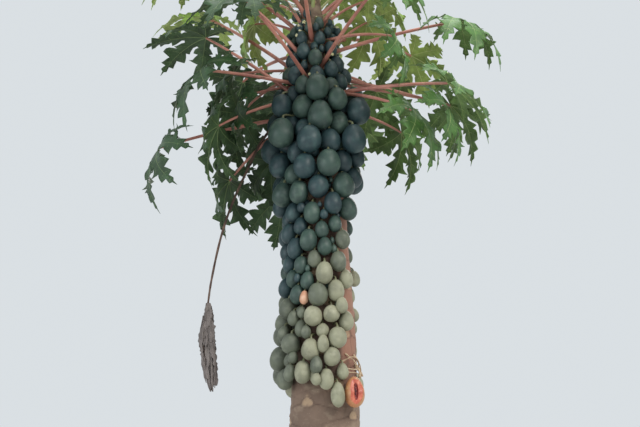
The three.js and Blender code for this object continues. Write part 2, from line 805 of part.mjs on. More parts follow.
// Joins fruit by the shortest free necks, until the bunches are as large as they may be.
function joinBunches(fruits, leaves, posts) {
  const bunches = [
    ...leaves.map((leaf, owner) => ({ leaf: owner, fruits: [], necks: [] })),
    ...fruits.map((fruit) => ({ fruits: [fruit], necks: [] })),
  ];
  const home = new Map();
  for (const bunch of bunches) for (const fruit of bunch.fruits) home.set(fruit, bunch);
  const necks = [];
  const links = possibleNecks(fruits, leaves);
  for (const most of [BUNCH_SIZE, BUNCH_SIZE + SMALL_BUNCH]) {
    for (const link of links) {
      const one = link.leaf === undefined ? home.get(link.b) : bunches[link.leaf];
      const other = home.get(link.a);
      if (one === other || (one.leaf !== undefined && other.leaf !== undefined)) continue;
      const few = Math.min(one.fruits.length, other.fruits.length);
      const size = one.fruits.length + other.fruits.length;
      const hasLeaf = one.leaf !== undefined || other.leaf !== undefined;
      if (size > (hasLeaf ? LEAF_FRUIT : most)) continue;
      if (most > BUNCH_SIZE && few >= SMALL_BUNCH) continue;
      if (!neckIsFree(link, fruits, posts, necks)) continue;
      const [kept, gone] = other.leaf !== undefined ? [other, one] : [one, other];
      kept.fruits.push(...gone.fruits);
      kept.necks.push(...gone.necks, link);
      for (const fruit of gone.fruits) home.set(fruit, kept);
      gone.fruits = [];
      gone.necks = [];
      necks.push(link);
    }
  }
  return bunches.filter((bunch) => bunch.leaf !== undefined || bunch.fruits.length > 0);
}

// The stalk of the fruit that sits nearest the bark carries the bunch.
function bearingStalk(bunch) {
  const out = (fruit) => fromAxis(fruit.at).length() - fruit.width / 2 - trunkRadius(fruit.at.z);
  const [first] = bunch.fruits.slice().sort((a, b) => out(a) - out(b));
  const foot = besideTrunk(first.turn, first.at.z + BEARING_LIFT * first.length, -FOOT_DEPTH);
  const { from, to } = nearestSeats(seatsOf(first), [foot]);
  return neck(from, to);
}

function bunchSolid(bunch, trunkGrown) {
  const pieces = bunch.fruits.map(fruitSolid);
  for (const link of bunch.necks) pieces.push(neck(link.from, link.to));
  pieces.push(bearingStalk(bunch));
  return wasm.Manifold.union(pieces).subtract(trunkGrown);
}

function leafSolid(leaf, bunch, trunkGrown) {
  const { foot, tip, sides, steps } = STALK_THICKNESS;
  const girth = Math.min(1, leaf.stalk / FULL_STALK);
  const radius = (share) => (foot + (tip - foot) * share) * girth;
  const seat = lobePoint(leaf, STALK_SEAT.turn, 1, STALK_SEAT.along, 0);
  const points = [...leaf.points.slice(0, -1), seat.applyMatrix4(bladeFrame(leaf))];
  const pieces = [limb(points, radius, sides, steps), bladeSolid(leaf)];
  pieces.push(...bunch.fruits.map(fruitSolid));
  for (const link of bunch.necks) pieces.push(neck(link.from, link.to));
  return wasm.Manifold.union(pieces).subtract(trunkGrown);
}

// A ripe fruit opened on its outer side, with the hollow of its seeds.
function openedSolid(fruit, trunkGrown) {
  const { width, length } = fruit;
  const inner = { ...fruit, width: width * SEED_HOLLOW.width, length: length * SEED_HOLLOW.length };
  const out = fromAxis(fruit.at).setLength(SEED_HOLLOW.out * width);
  inner.at = fruit.at.clone().add(out);
  const hollow = solidOf(fruitGeometry(inner, FRUIT_SIDES, FRUIT_PROFILE));
  const foot = besideTrunk(fruit.turn, fruit.at.z + BEARING_LIFT * length, -FOOT_DEPTH);
  const { from, to } = nearestSeats(seatsOf(fruit), [foot]);
  const whole = wasm.Manifold.union([fruitSolid(fruit), neck(from, to)]);
  return whole.subtract(hollow).subtract(trunkGrown);
}

// A withered leaf hangs by its limp stalk, its blade rolled up and ragged.
function witheredSolid(trunkGrown) {
  const { foot, tip, sides, steps } = STALK_THICKNESS;
  const girth = (share) => foot + (tip - foot) * share;
  const stalk = limb(WITHERED_STALK.map(vector), girth, sides, 2 * steps);
  const random = seeded(LEAF_SEED);
  const roll = WITHERED_BLADE;
  const edges = Array.from({ length: roll.steps + 1 }, () => 1 + roll.ragged * (random() - 0.5));
  const bulge = (share) => {
    const along = roll.swell_from + (roll.swell_to - roll.swell_from) * share;
    const swell = Math.sin(Math.PI * along) ** roll.swell_power;
    const width = roll.narrow + (1 - roll.narrow) * swell;
    return roll.radius * width * edges[Math.round(share * roll.steps)];
  };
  const blade = limb(roll.points.map(vector), bulge, roll.sides, roll.steps, roll.flat);
  return wasm.Manifold.union([stalk, blade]).subtract(trunkGrown);
}

// The growing tip: a bud with young leaves still folded round it.
function tipSolid() {
  const top = trunkAxis(TRUNK_HEIGHT + SEAT_GAP);
  const profile = BUD_PROFILE.map(([out, up]) => new THREE.Vector2(out * TIP_RADIUS, up));
  const bud = new THREE.LatheGeometry(profile, BUD_SIDES);
  bud.rotateX(Math.PI / 2);
  bud.translate(top.x, top.y, top.z);
  const pieces = [solidOf(bud)];
  const folded = FOLDED_LEAVES;
  for (let i = 0; i < folded.count; i++) {
    const turn = i * GOLDEN_ANGLE;
    const away = new THREE.Vector3(Math.cos(turn), Math.sin(turn), 0);
    const height = folded.height - folded.step * i;
    const heights = [folded.foot, folded.middle * height, height];
    const points = heights.map((up, k) => {
      const reach = folded.out[k] + folded.spread[k] * i;
      return top.clone().addScaledVector(away, reach).setZ(top.z + up);
    });
    const swell = (share) => Math.max(0, share - folded.swell_from) * (folded.swell_to - share);
    const radius = (share) => folded.stem + folded.swell * swell(share);
    pieces.push(limb(points, radius, folded.sides, folded.steps, folded.flat));
  }
  return wasm.Manifold.union(pieces);
}

const bark = new THREE.MeshStandardMaterial({ color: 0x7b5a49, roughness: 0.9, metalness: 0 });
const skin = new THREE.MeshStandardMaterial({ color: 0x5d7355, roughness: 0.5, metalness: 0 });
const ripe = new THREE.MeshStandardMaterial({ color: 0xb5623c, roughness: 0.6, metalness: 0 });
const green = new THREE.MeshStandardMaterial({ color: 0x4c6b2f, roughness: 0.6, metalness: 0 });
const dry = new THREE.MeshStandardMaterial({ color: 0x6e5f52, roughness: 0.95, metalness: 0 });

const tree = new THREE.Group();
tree.name = "papaya_tree";
const trunkGrown = trunkSolid(SEAT_GAP);
const numbered = (name, i) => `${name}_${String(i).padStart(2, "0")}`;

const leaves = leafPlan();
const posts = stalkPosts(leaves);
const fruits = fruitPlan(leaves, posts);
const bunches = joinBunches(fruits, leaves, posts);

tree.add(meshOf("trunk", trunkSolid(0), bark));
tree.add(meshOf("crown_tip", tipSolid(), green));
tree.add(meshOf("withered_leaf", witheredSolid(trunkGrown), dry));
let count = 0;
for (const bunch of bunches) {
  if (bunch.leaf !== undefined) {
    const solid = leafSolid(leaves[bunch.leaf], bunch, trunkGrown);
    tree.add(meshOf(numbered("leaf", bunch.leaf + 1), solid, green));
  } else if (bunch.fruits[0].opened) {
    tree.add(meshOf("opened_fruit", openedSolid(bunch.fruits[0], trunkGrown), ripe));
  } else {
    count += 1;
    tree.add(meshOf(numbered("fruit_bunch", count), bunchSolid(bunch, trunkGrown), skin));
  }
}

export default tree;
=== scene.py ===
# The looks of a papaya tree in full bearing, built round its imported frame. All sizes are metres,
# +Z is up and -Y is the side that the tree is seen from.
import math

import bpy
import numpy as np
from mathutils import Matrix, Vector


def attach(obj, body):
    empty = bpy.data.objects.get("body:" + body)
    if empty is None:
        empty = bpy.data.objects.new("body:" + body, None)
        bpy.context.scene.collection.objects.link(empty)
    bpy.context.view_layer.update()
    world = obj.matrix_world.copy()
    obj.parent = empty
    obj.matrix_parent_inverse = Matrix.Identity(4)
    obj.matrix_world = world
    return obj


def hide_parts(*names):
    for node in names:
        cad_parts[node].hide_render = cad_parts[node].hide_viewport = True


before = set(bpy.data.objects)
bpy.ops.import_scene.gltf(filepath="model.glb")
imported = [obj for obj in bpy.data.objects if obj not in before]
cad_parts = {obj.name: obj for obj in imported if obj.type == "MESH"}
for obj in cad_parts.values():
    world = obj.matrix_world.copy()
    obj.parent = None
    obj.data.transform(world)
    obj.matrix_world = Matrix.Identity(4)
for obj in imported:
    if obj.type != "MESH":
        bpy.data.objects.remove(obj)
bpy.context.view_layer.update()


def table(fields, *rows):
    """Rows of values under the names of their fields."""
    return [dict(zip(fields.split(), row)) for row in rows]


# Driving sizes of the trunk, as in the part's source
TRUNK_HEIGHT = 4.480
FOOT_RADIUS = 0.236
TIP_RADIUS = 0.048
TAPER_POWER = 1.6
FLARE = 0.055
FLARE_HEIGHT = 0.170
ROOT_RIDGES = {"count": 5, "share": 0.07}
LEAN = (0.016953, -1.9247e-3, -1.5504e-3)
LEAN_BACK = 0.012

# Fruit below the crown, as in the part's source
FRUIT_STOPS = table(
    "z width length room",
    (1.690, 0.116, 0.130, 1.1),
    (2.150, 0.116, 0.130, 1.05),
    (2.260, 0.088, 0.112, 1.0),
    (2.720, 0.094, 0.122, 0.95),
    (2.840, 0.130, 0.156, 0.66),
    (3.160, 0.146, 0.168, 0.5),
    (3.450, 0.134, 0.150, 0.48),
)
# Fruit whose places were measured, with their turns in degrees
MEASURED_FRUIT = table(
    "turn z width length",
    (-105, 2.094, 0.113, 0.120),
    (-80, 2.108, 0.098, 0.098),
    (-57, 2.070, 0.088, 0.113),
    (-93, 2.012, 0.074, 0.084),
    (-73, 1.965, 0.113, 0.125),
    (-141, 1.940, 0.113, 0.119),
    (-109, 1.903, 0.107, 0.125),
    (-80, 1.866, 0.101, 0.113),
    (-120, 1.774, 0.097, 0.131),
    (-88, 1.733, 0.086, 0.119),
    (-64, 1.779, 0.068, 0.095),
    (-73, 1.650, 0.082, 0.140),
    (-157, 1.740, 0.097, 0.120),
)
OPENED_FRUIT = {"turn": -50, "z": 1.662, "width": 0.112, "length": 0.172, "hold": 1, "opened": True}
GOLDEN_ANGLE = math.pi * (3 - math.sqrt(5))
FRUIT_SEED = 4711
SIZE_SPREAD = 0.3
LENGTH_SPREAD = 0.1
PLACE_SPREAD = 0.030
MEASURED_ROOM = 0.42
FRUIT_TILT = 0.14
BARE_SIDE = {"from": -1.02, "to": 0.75, "below": 3.030}
SLIM_SIDE = {"from": -0.75, "to": 0.9, "below": 3.300, "share": 0.8}

# How fruit settle round the trunk
SETTLE_STEPS = 160
SHRINK_PASSES = 3
PRESS_SHARE = 0.4
HANG_BACK = 0.07
HEIGHT_HOLD = 0.03
MEASURED_HOLD = 0.25
FRUIT_GAP = 0.003
BARK_GAP = 0.007
LEAST_SHARE = 0.76

# Driving sizes of the leaves, from the oldest and lowest to the youngest
LEAF_COUNT = 26
LEAF_SEED = 90
FIRST_LEAF_TURN = 0.92
LEAF_ZONE = {"from": 3.480, "to": 4.380}
LEAF_AGES = table(
    "age stalk blade rise sag pitch droop",
    (0, 0.800, 0.430, -30, -20, -24, -40),
    (0.12, 0.820, 0.440, -14, -22, -28, -48),
    (0.32, 0.920, 0.440, 12, -26, -34, -54),
    (0.6, 0.860, 0.420, 38, -24, -46, -52),
    (0.85, 0.560, 0.330, 58, -16, -50, -44),
    (1, 0.330, 0.210, 62, -10, -50, -34),
)
STALK_LINKS = 8
GUARDED_LINKS = 4
WITHERED_GUARD = 2
STALK_FOOT = 0.016
STALK_FOOT_DEPTH = 0.014
LIFTED_SIDES = table("turn half rise", (-math.pi / 2, 0.66, 22), (0, 0.7, 2), (math.pi, 0.7, 40))
LIFTED_SAG = 0.6
LEAF_CLEARANCE = 0.092
ROOM_POINTS = {"rib": 5, "stalk_from": 3, "withered": 14, "withered_from": 2}
# How much more a gap counts where one leaf has its stalk, and where both have
STALK_WEIGHTS = (1.4, 2)
LEAF_TRIES = 60
LEAF_SPREAD = {
    "stalk": 0.16, "blade": 0.12, "rise": 6, "sag": 0.5, "pitch": 20, "droop": 16, "swing": 0.2, "roll": 0.5,
}
LEAF_GIVE = {"rise": 24, "swing": 1.1}
SCALED_FIELDS = ("stalk", "blade", "sag")
# Each lobe's turn in degrees, and its share of the blade's length
LOBES = ((-134, 0.6), (-86, 0.83), (-42, 0.95), (0, 1), (42, 0.95), (86, 0.83), (134, 0.6))
LOBE_START_SLOPE = 10
KEEL = 0.22

# The fruit of the leaf axils
AXIL_STOPS = table(
    "z width length",
    (3.480, 0.112, 0.136),
    (3.640, 0.100, 0.122),
    (3.850, 0.076, 0.096),
    (4.080, 0.052, 0.068),
)
AXIL_PLACES = table("aside below up_to", (-1, 0, 4.060), (1, 0, 4.060), (0, 1, 3.840))

# The withered leaf
WITHERED_STALK = [
    (-0.090, 0.060, 3.440),
    (-0.330, 0.130, 3.330),
    (-0.500, 0.160, 3.020),
    (-0.620, 0.170, 2.700),
    (-0.690, 0.170, 2.360),
    (-0.708, 0.170, 2.210),
]


# The growth rule of the part's source, written again

def seeded(seed):
    """A simple generator of numbers from -0.5 to 0.5, so a seed always gives the same tree."""
    state = seed

    def draw():
        nonlocal state
        state = (state * 48271) % 2147483647
        return state / 2147483647 - 0.5

    return draw


def between(stops, at, key="z"):
    """A row read between the stops of a table, by the field that the stops are ordered by."""
    places = [stop[key] for stop in stops]
    return {field: float(np.interp(at, places, [stop[field] for stop in stops])) for field in stops[0]}


def column(rows, field):
    return np.array([row[field] for row in rows])


def wrapped(turn):
    """The same turn, from half a turn back to half a turn on."""
    return np.arctan2(np.sin(turn), np.cos(turn))


def polar(reach, turn, z=0.0):
    """Points by their distance from an upright axis, their turn round it and their height."""
    return np.stack(np.broadcast_arrays(reach * np.cos(turn), reach * np.sin(turn), z), -1)


def trunk_axis(z):
    z = np.asarray(z, float)
    return np.stack([LEAN[0] * z + LEAN[1] * z**2 + LEAN[2] * z**3, LEAN_BACK * z, z], -1)


def trunk_radius(z):
    z = np.maximum(z, 0)
    taper = 1 - np.minimum(1, z / TRUNK_HEIGHT) ** TAPER_POWER
    return TIP_RADIUS + (FOOT_RADIUS - TIP_RADIUS) * taper + FLARE * np.exp(-z / FLARE_HEIGHT)


def beside_trunk(turn, z, out):
    """Points beside the trunk: turn round it, height, and distance out from its bark."""
    return trunk_axis(z) + polar(trunk_radius(z) + out, turn)


def from_axis(point):
    """The flat vector from the trunk's axis to a point at the same height."""
    away = point - trunk_axis(point[..., 2])
    away[..., 2] = 0
    return away


def smooth_curve(points, count):
    """A centripetal curve through points, as count + 1 points."""
    points = np.asarray(points, float)
    last = len(points) - 1
    padded = np.vstack([2 * points[0] - points[1], points, 2 * points[last] - points[last - 1]])
    at = np.linspace(0, last, count + 1)
    first = np.minimum(at.astype(int), last - 1)
    share = (at - first)[:, None]
    p0, p1, p2, p3 = (padded[first + k] for k in range(4))
    step = [np.maximum(np.linalg.norm(b - a, axis=1)[:, None], 1e-9) ** 0.5
            for a, b in ((p0, p1), (p1, p2), (p2, p3))]
    enter = (p1 - p0) / step[0] - (p2 - p0) / (step[0] + step[1]) + (p2 - p1) / step[1]
    leave = (p2 - p1) / step[1] - (p3 - p1) / (step[1] + step[2]) + (p3 - p2) / step[2]
    enter, leave = enter * step[1], leave * step[1]
    square = -3 * p1 + 3 * p2 - 2 * enter - leave
    cube = 2 * p1 - 2 * p2 + enter + leave
    return p1 + enter * share + square * share**2 + cube * share**3


def leaf_turn(place):
    """The turn of a leaf's foot, by its place in the golden-angle order."""
    return FIRST_LEAF_TURN + place * GOLDEN_ANGLE


def stalk_points(leaf):
    """Where a leaf's stalk runs: out from the bark, bending down as it goes."""
    link = np.arange(STALK_LINKS)
    slope = np.radians(leaf["rise"] + leaf["sag"] * (link + 0.5) / STALK_LINKS)
    swing = leaf["turn"] + leaf["swing"] * link / STALK_LINKS
    links = leaf["stalk"] / STALK_LINKS * polar(np.cos(slope), swing, np.sin(slope))
    foot = beside_trunk(leaf["turn"], leaf["z"], -STALK_FOOT_DEPTH)
    return np.cumsum(np.vstack([foot, links]), axis=0)


def blade_frame(leaf):
    """The frame of a blade: rows along its middle lobe, across it and up, and its origin."""
    turn = leaf["turn"] + leaf["swing"]
    slope = math.radians(leaf["rise"] + leaf["sag"] + leaf["pitch"])
    along = polar(math.cos(slope), turn, math.sin(slope))
    across = np.array([-math.sin(turn), math.cos(turn), 0])
    up = np.cross(along, across)
    rolled = across * math.cos(leaf["roll"]) + up * math.sin(leaf["roll"])
    return np.array([along, rolled, np.cross(along, rolled)]), stalk_points(leaf)[-1]


def bent_reach(leaf, length, along):
    """How far out and how high a point lies that is a share along a lobe of that length."""
    start = math.radians(LOBE_START_SLOPE)
    bend = math.radians(leaf["droop"]) - start
    slope = start + bend * along
    size = leaf["blade"] * length
    out = size * (np.sin(slope) - math.sin(start)) / bend
    return out, size * (math.cos(start) - np.cos(slope)) / bend


def room_points(leaf):
    """Points that stand for a leaf when its room is tested: along its stalk and its ribs."""
    axes, origin = blade_frame(leaf)
    along = np.arange(1, ROOM_POINTS["rib"] + 1) / ROOM_POINTS["rib"]
    ribs = []
    for turn, length in LOBES:
        out, height = bent_reach(leaf, length, along)
        ribs.append(polar(out, math.radians(turn), height) @ axes + origin)
    return stalk_points(leaf)[ROOM_POINTS["stalk_from"]:], np.vstack(ribs)


def nearest(some, others):
    """How far the nearest of the others is from any of some points."""
    return math.sqrt(((some[:, None] - others) ** 2).sum(-1).min(initial=math.inf))


def room_between(points, others, at_one, at_both):
    """The least room between a leaf and others, where gaps at stalks count for more."""
    stalk, ribs = points
    other_stalks, other_ribs = others
    return min(
        nearest(ribs, other_ribs),
        nearest(ribs, other_stalks) * at_one,
        nearest(stalk, other_ribs) * at_one,
        nearest(stalk, other_stalks) * at_both,
    )


def varied(leaf, spreads, draw):
    """The same leaf a little different: some fields change by a share, the rest by an amount."""
    tried = dict(leaf)
    for field, spread in spreads.items():
        change = spread * draw()
        tried[field] += change * tried[field] if field in SCALED_FIELDS else change
    return tried


def leaf_plan():
    """Leaves follow the golden angle. One that has no room swings and lifts until it has."""
    draw = seeded(LEAF_SEED)
    limp = smooth_curve(WITHERED_STALK, ROOM_POINTS["withered"])
    others = (limp[ROOM_POINTS["withered_from"]:], np.zeros((0, 3)))
    leaves = []
    for i in range(LEAF_COUNT):
        age = i / (LEAF_COUNT - 1)
        z = LEAF_ZONE["from"] + (LEAF_ZONE["to"] - LEAF_ZONE["from"]) * age
        leaf = between(LEAF_AGES, age, "age")
        leaf.update(age=age, turn=leaf_turn(i + 1), z=z, swing=0, roll=0)
        lifts = [side for side in LIFTED_SIDES if abs(wrapped(leaf["turn"] - side["turn"])) < side["half"]]
        leaf["rise"] = max([leaf["rise"]] + [side["rise"] for side in lifts])
        leaf["sag"] *= LIFTED_SAG if lifts else 1
        best = -math.inf
        for attempt in range(LEAF_TRIES):
            give = attempt / LEAF_TRIES
            tried = varied(leaf, {k: LEAF_SPREAD[k] + LEAF_GIVE.get(k, 0) * give for k in LEAF_SPREAD}, draw)
            points = room_points(tried)
            room = room_between(points, others, *STALK_WEIGHTS)
            if min(room, LEAF_CLEARANCE) > best:
                best = min(room, LEAF_CLEARANCE)
                kept, kept_points = tried, points
            if best >= LEAF_CLEARANCE:
                break
        leaves.append(dict(kept, points=stalk_points(kept)))
        others = [np.vstack(pair) for pair in zip(others, kept_points)]
    return leaves


def axil_fruit(leaf, place):
    """A fruit in the axil of a leaf, beside its stalk or under it."""
    size = between(AXIL_STOPS, leaf["z"])
    out = BARK_GAP + size["width"] / 2
    aside = (size["width"] / 2 + STALK_FOOT + FRUIT_GAP) / (trunk_radius(leaf["z"]) + out)
    turn = leaf["turn"] + place["aside"] * aside
    z = leaf["z"] - place["below"] * (size["length"] / 2 + STALK_FOOT + FRUIT_GAP)
    return dict(size, home=beside_trunk(turn, z, out), hold=0)


def stalk_posts(leaves):
    """Stalks that fruit keep clear of, as straight pieces: their starts and ends."""
    lines = [leaf["points"][:GUARDED_LINKS + 1] for leaf in leaves]
    lines.append(np.array(WITHERED_STALK[:WITHERED_GUARD + 1]))
    return np.vstack([line[:-1] for line in lines]), np.vstack([line[1:] for line in lines])


def nearest_on_posts(point, posts):
    """The point of each straight stalk that lies nearest a point."""
    starts, ends = posts
    line = ends - starts
    share = np.clip(((point - starts) * line).sum(-1) / (line**2).sum(-1), 0, 1)
    return starts + line * share[..., None]


def on_side(side, angle, z):
    return z < side["below"] and side["from"] < angle < side["to"]


def strung_fruit():
    """Fruit on the golden-angle spiral below the crown, before they settle."""
    draw = seeded(FRUIT_SEED)
    measured = []
    for fruit in [OPENED_FRUIT] + MEASURED_FRUIT:
        home = beside_trunk(math.radians(fruit["turn"]), fruit["z"], BARK_GAP + fruit["width"] / 2)
        measured.append({"hold": MEASURED_HOLD, **fruit, "home": home})
    fruits = list(measured)
    z = FRUIT_STOPS[0]["z"]
    turn = 0.0
    while z < FRUIT_STOPS[-1]["z"]:
        value = between(FRUIT_STOPS, z)
        angle = wrapped(turn)
        share = SLIM_SIDE["share"] if on_side(SLIM_SIDE, angle, z) else 1
        size = share * (1 + SIZE_SPREAD * draw())
        width = value["width"] * size
        length = value["length"] * size * (1 + LENGTH_SPREAD * draw())
        out = BARK_GAP + width / 2
        home = beside_trunk(angle, z, out) + PLACE_SPREAD * np.array([draw(), draw(), draw()])
        taken = any(
            np.linalg.norm(other["home"] - home) < MEASURED_ROOM * (other["length"] + length)
            for other in measured
        )
        if not taken and not on_side(BARE_SIDE, angle, z):
            fruits.append({"width": width, "length": length, "home": home, "hold": 0})
        girth = 2 * math.pi * (trunk_radius(z) + out)
        z += value["room"] * value["width"] * value["length"] / girth
        turn += GOLDEN_ANGLE
    return fruits


def fruit_plan(leaves, posts):
    """Fruit press one another into place round the trunk, and keep off the stalks."""
    fruits = strung_fruit()
    for leaf in leaves:
        fruits.extend(axil_fruit(leaf, place) for place in AXIL_PLACES if leaf["z"] < place["up_to"])
    home, hold, width, length = (column(fruits, field) for field in ("home", "hold", "width", "length"))
    at = home.copy()
    for _ in range(SETTLE_STEPS):
        at = settled(at, home, hold[:, None], width, length, posts)
    least = LEAST_SHARE * width
    for _ in range(SHRINK_PASSES):
        shrink_to_fit(at, width, length, posts)
    away = from_axis(at)
    turn = np.arctan2(away[:, 1], away[:, 0])
    for i, fruit in enumerate(fruits):
        fruit.update(at=at[i], width=width[i], length=length[i], turn=turn[i], z=at[i][2])
    return [fruit for fruit, limit in zip(fruits, least) if fruit.get("opened") or fruit["width"] > limit]


def pushed_off(apart, tall, least):
    """The push along each gap that is shorter than the least, with each fruit taken as a ball."""
    apart[..., 2] /= tall
    gap = np.linalg.norm(apart, axis=-1)
    gap[gap == 0] = 1
    push = apart / gap[..., None] * (np.maximum(least - gap, 0) * PRESS_SHARE)[..., None]
    push[..., 2] *= tall
    return push.sum(1)


def settled(at, home, hold, width, length, posts):
    """One step of the settling: fruit push one another, come back, and rest on the bark."""
    tall = (length[:, None] + length) / (width[:, None] + width)
    off_fruit = pushed_off(at[None] - at[:, None], tall, (width[:, None] + width) / 2 + FRUIT_GAP)
    beside_posts = at[:, None] - nearest_on_posts(at[:, None], posts)
    least = width[:, None] / 2 + STALK_FOOT + FRUIT_GAP
    at = at - off_fruit + pushed_off(beside_posts, (length / width)[:, None], least)
    at = at + (home - at) * hold
    at[:, 2] += (home[:, 2] - at[:, 2]) * HEIGHT_HOLD
    away = from_axis(at)
    reach = np.linalg.norm(away, axis=-1)
    seat = trunk_radius(at[:, 2] - length / 4) + BARK_GAP + width / 2
    kept = np.maximum(seat, reach - (reach - seat) * HANG_BACK)
    return trunk_axis(at[:, 2]) + away * (kept / reach)[:, None]


def shrink_to_fit(at, width, length, posts):
    """Fruit that still lack room after settling stay a little smaller."""
    for i in range(len(at)):
        for j in range(i + 1, len(at)):
            tall = (length[i] + length[j]) / (width[i] + width[j])
            apart = at[j] - at[i]
            gap = math.sqrt(apart[0] ** 2 + apart[1] ** 2 + (apart[2] / tall) ** 2)
            reach = (width[i] + width[j]) / 2
            if reach + FRUIT_GAP > gap:
                share = 1 - (reach + FRUIT_GAP - gap) / reach
                width[[i, j]] *= share
                length[[i, j]] *= share
        for near in nearest_on_posts(at[i], posts):
            apart = at[i] - near
            apart[2] /= length[i] / width[i]
            lack = width[i] / 2 + STALK_FOOT + FRUIT_GAP - np.linalg.norm(apart)
            if lack > 0:
                share = 1 - 2 * lack / width[i]
                width[i] *= share
                length[i] *= share


# Making meshes

def placed(name, data):
    """A new object in the scene."""
    item = bpy.data.objects.new(name, data)
    bpy.context.scene.collection.objects.link(item)
    return item


def mesh_object(name, corners, faces, materials, smooth=True, face_material=None):
    """A mesh object from corner points and an array of faces that all have as many corners."""
    faces = np.asarray(faces, np.int32)
    mesh = bpy.data.meshes.new(name)
    mesh.vertices.add(len(corners))
    mesh.vertices.foreach_set("co", np.asarray(corners, np.float32).ravel())
    mesh.loops.add(faces.size)
    mesh.loops.foreach_set("vertex_index", faces.ravel())
    mesh.polygons.add(len(faces))
    mesh.polygons.foreach_set("loop_start", np.arange(len(faces), dtype=np.int32) * faces.shape[1])
    for material in materials:
        mesh.materials.append(material)
    if face_material is not None:
        mesh.polygons.foreach_set("material_index", np.asarray(face_material, np.int32))
    mesh.polygons.foreach_set("use_smooth", np.full(len(faces), smooth))
    mesh.update(calc_edges=True)
    mesh.validate()
    return placed(name, mesh)


def walled(piece, thickness, inner_material=0):
    """Gives a thin sheet its thickness. Its other side can have the next material."""
    wall = piece.modifiers.new("thickness", "SOLIDIFY")
    wall.thickness = thickness
    wall.offset = 0
    wall.material_offset = inner_material
    return piece


def grid_faces(rows, columns, wrap=False, turned=False):
    """Triangles of a grid of corners that is laid out row by row."""
    across = columns if wrap else columns - 1
    row = np.arange(rows - 1)[:, None]
    first = np.arange(across)[None]
    beside = (first + 1) % columns
    corners = [row * columns + first, row * columns + beside,
               (row + 1) * columns + beside, (row + 1) * columns + first]
    quads = np.stack(corners[::-1] if turned else corners, -1).reshape(-1, 4)
    return np.vstack([quads[:, [0, 1, 2]], quads[:, [0, 2, 3]]])


def joined(parts):
    """Corner and face arrays of several meshes as one."""
    starts = np.cumsum([0] + [len(corners) for corners, _ in parts[:-1]])
    faces = [faces + start for (_, faces), start in zip(parts, starts)]
    return np.vstack([corners for corners, _ in parts]), np.vstack(faces)


def welded(corners, faces):
    """The mesh with corners that coincide made one, the faces that keep an area, and which do."""
    keys = np.round(corners * 2e5).astype(np.int64)
    _, first, index = np.unique(keys, axis=0, return_index=True, return_inverse=True)
    faces = index.reshape(-1)[faces]
    ordered = np.sort(faces, axis=1)
    whole = (ordered[:, 1:] != ordered[:, :-1]).all(1)
    return corners[first], faces[whole], whole


def turns(count):
    return np.arange(count) * 2 * math.pi / count


def ringed_shape(name, out, up):
    """A hidden shape to copy: rings of corners, by how far out and how high each corner is."""
    rings, sides = out.shape
    corners = polar(out, turns(sides), up).reshape(-1, 3)
    corners, faces, _ = welded(corners, grid_faces(rings, sides, wrap=True))
    shape = mesh_object(name, corners, faces, [])
    shape.hide_render = True
    return shape


def lump_shape(name, rings, sides):
    """A plain egg, one unit wide and long."""
    rise = np.linspace(0, math.pi, rings)[:, None]
    return ringed_shape(name, 0.5 * np.sin(rise) * np.ones(sides), -0.5 * np.cos(rise))


def set_values(mesh, label, values):
    """Gives each point of a mesh a number, or a vector where the values have three."""
    kind, field = ("FLOAT", "value") if np.ndim(values) == 1 else ("FLOAT_VECTOR", "vector")
    layer = mesh.attributes.new(label, kind, "POINT")
    layer.data.foreach_set(field, np.asarray(values, np.float32).ravel())


# Node trees

def wired(tree, kind, inputs=(), **settings):
    """The outputs of a new node. Its inputs are set to values, or linked to other nodes' outputs."""
    node = tree.nodes.new(kind)
    for label, value in settings.items():
        setattr(node, label, value)
    for label, value in dict(inputs).items():
        if isinstance(value, bpy.types.NodeSocket):
            tree.links.new(value, node.inputs[label])
        else:
            node.inputs[label].default_value = value
    return node.outputs


def geometry_tree(name, inputs):
    """A node tree with a geometry socket in and out, and the outputs of its named inputs."""
    tree = bpy.data.node_groups.new(name, "GeometryNodeTree")
    tree.interface.new_socket("Geometry", in_out="INPUT", socket_type="NodeSocketGeometry")
    for label, kind in inputs.items():
        tree.interface.new_socket(label, in_out="INPUT", socket_type="NodeSocket" + kind)
    tree.interface.new_socket("Geometry", in_out="OUTPUT", socket_type="NodeSocketGeometry")
    return tree, wired(tree, "NodeGroupInput")


def named_attribute(tree, name, kind):
    return wired(tree, "GeometryNodeInputNamedAttribute", {"Name": name}, data_type=kind)["Attribute"]


def finished_tree(tree, geometry, material):
    """Ends a tree: instances made real, faces smooth, and the material set."""
    real = wired(tree, "GeometryNodeRealizeInstances", {"Geometry": geometry})["Geometry"]
    smooth = wired(tree, "GeometryNodeSetShadeSmooth", {"Geometry": real})["Geometry"]
    finish = wired(tree, "GeometryNodeSetMaterial", {"Geometry": smooth, "Material": material})["Geometry"]
    wired(tree, "NodeGroupOutput", {"Geometry": finish})
    return tree


def rod_tree():
    """Round rods along the edges of a mesh, as thick as the edges' girth says."""
    tree, start = geometry_tree("rods", {"Sides": "Int", "Finish": "Material"})
    line = wired(tree, "GeometryNodeMeshToCurve", {"Mesh": start["Geometry"]})["Curve"]
    section = wired(tree, "GeometryNodeCurvePrimitiveCircle", {"Resolution": start["Sides"], "Radius": 1})
    sweep = wired(tree, "GeometryNodeCurveToMesh", {
        "Curve": line,
        "Profile Curve": section["Curve"],
        "Scale": named_attribute(tree, "girth", "FLOAT"),
        "Fill Caps": True,
    })
    return finished_tree(tree, sweep["Mesh"], start["Finish"])


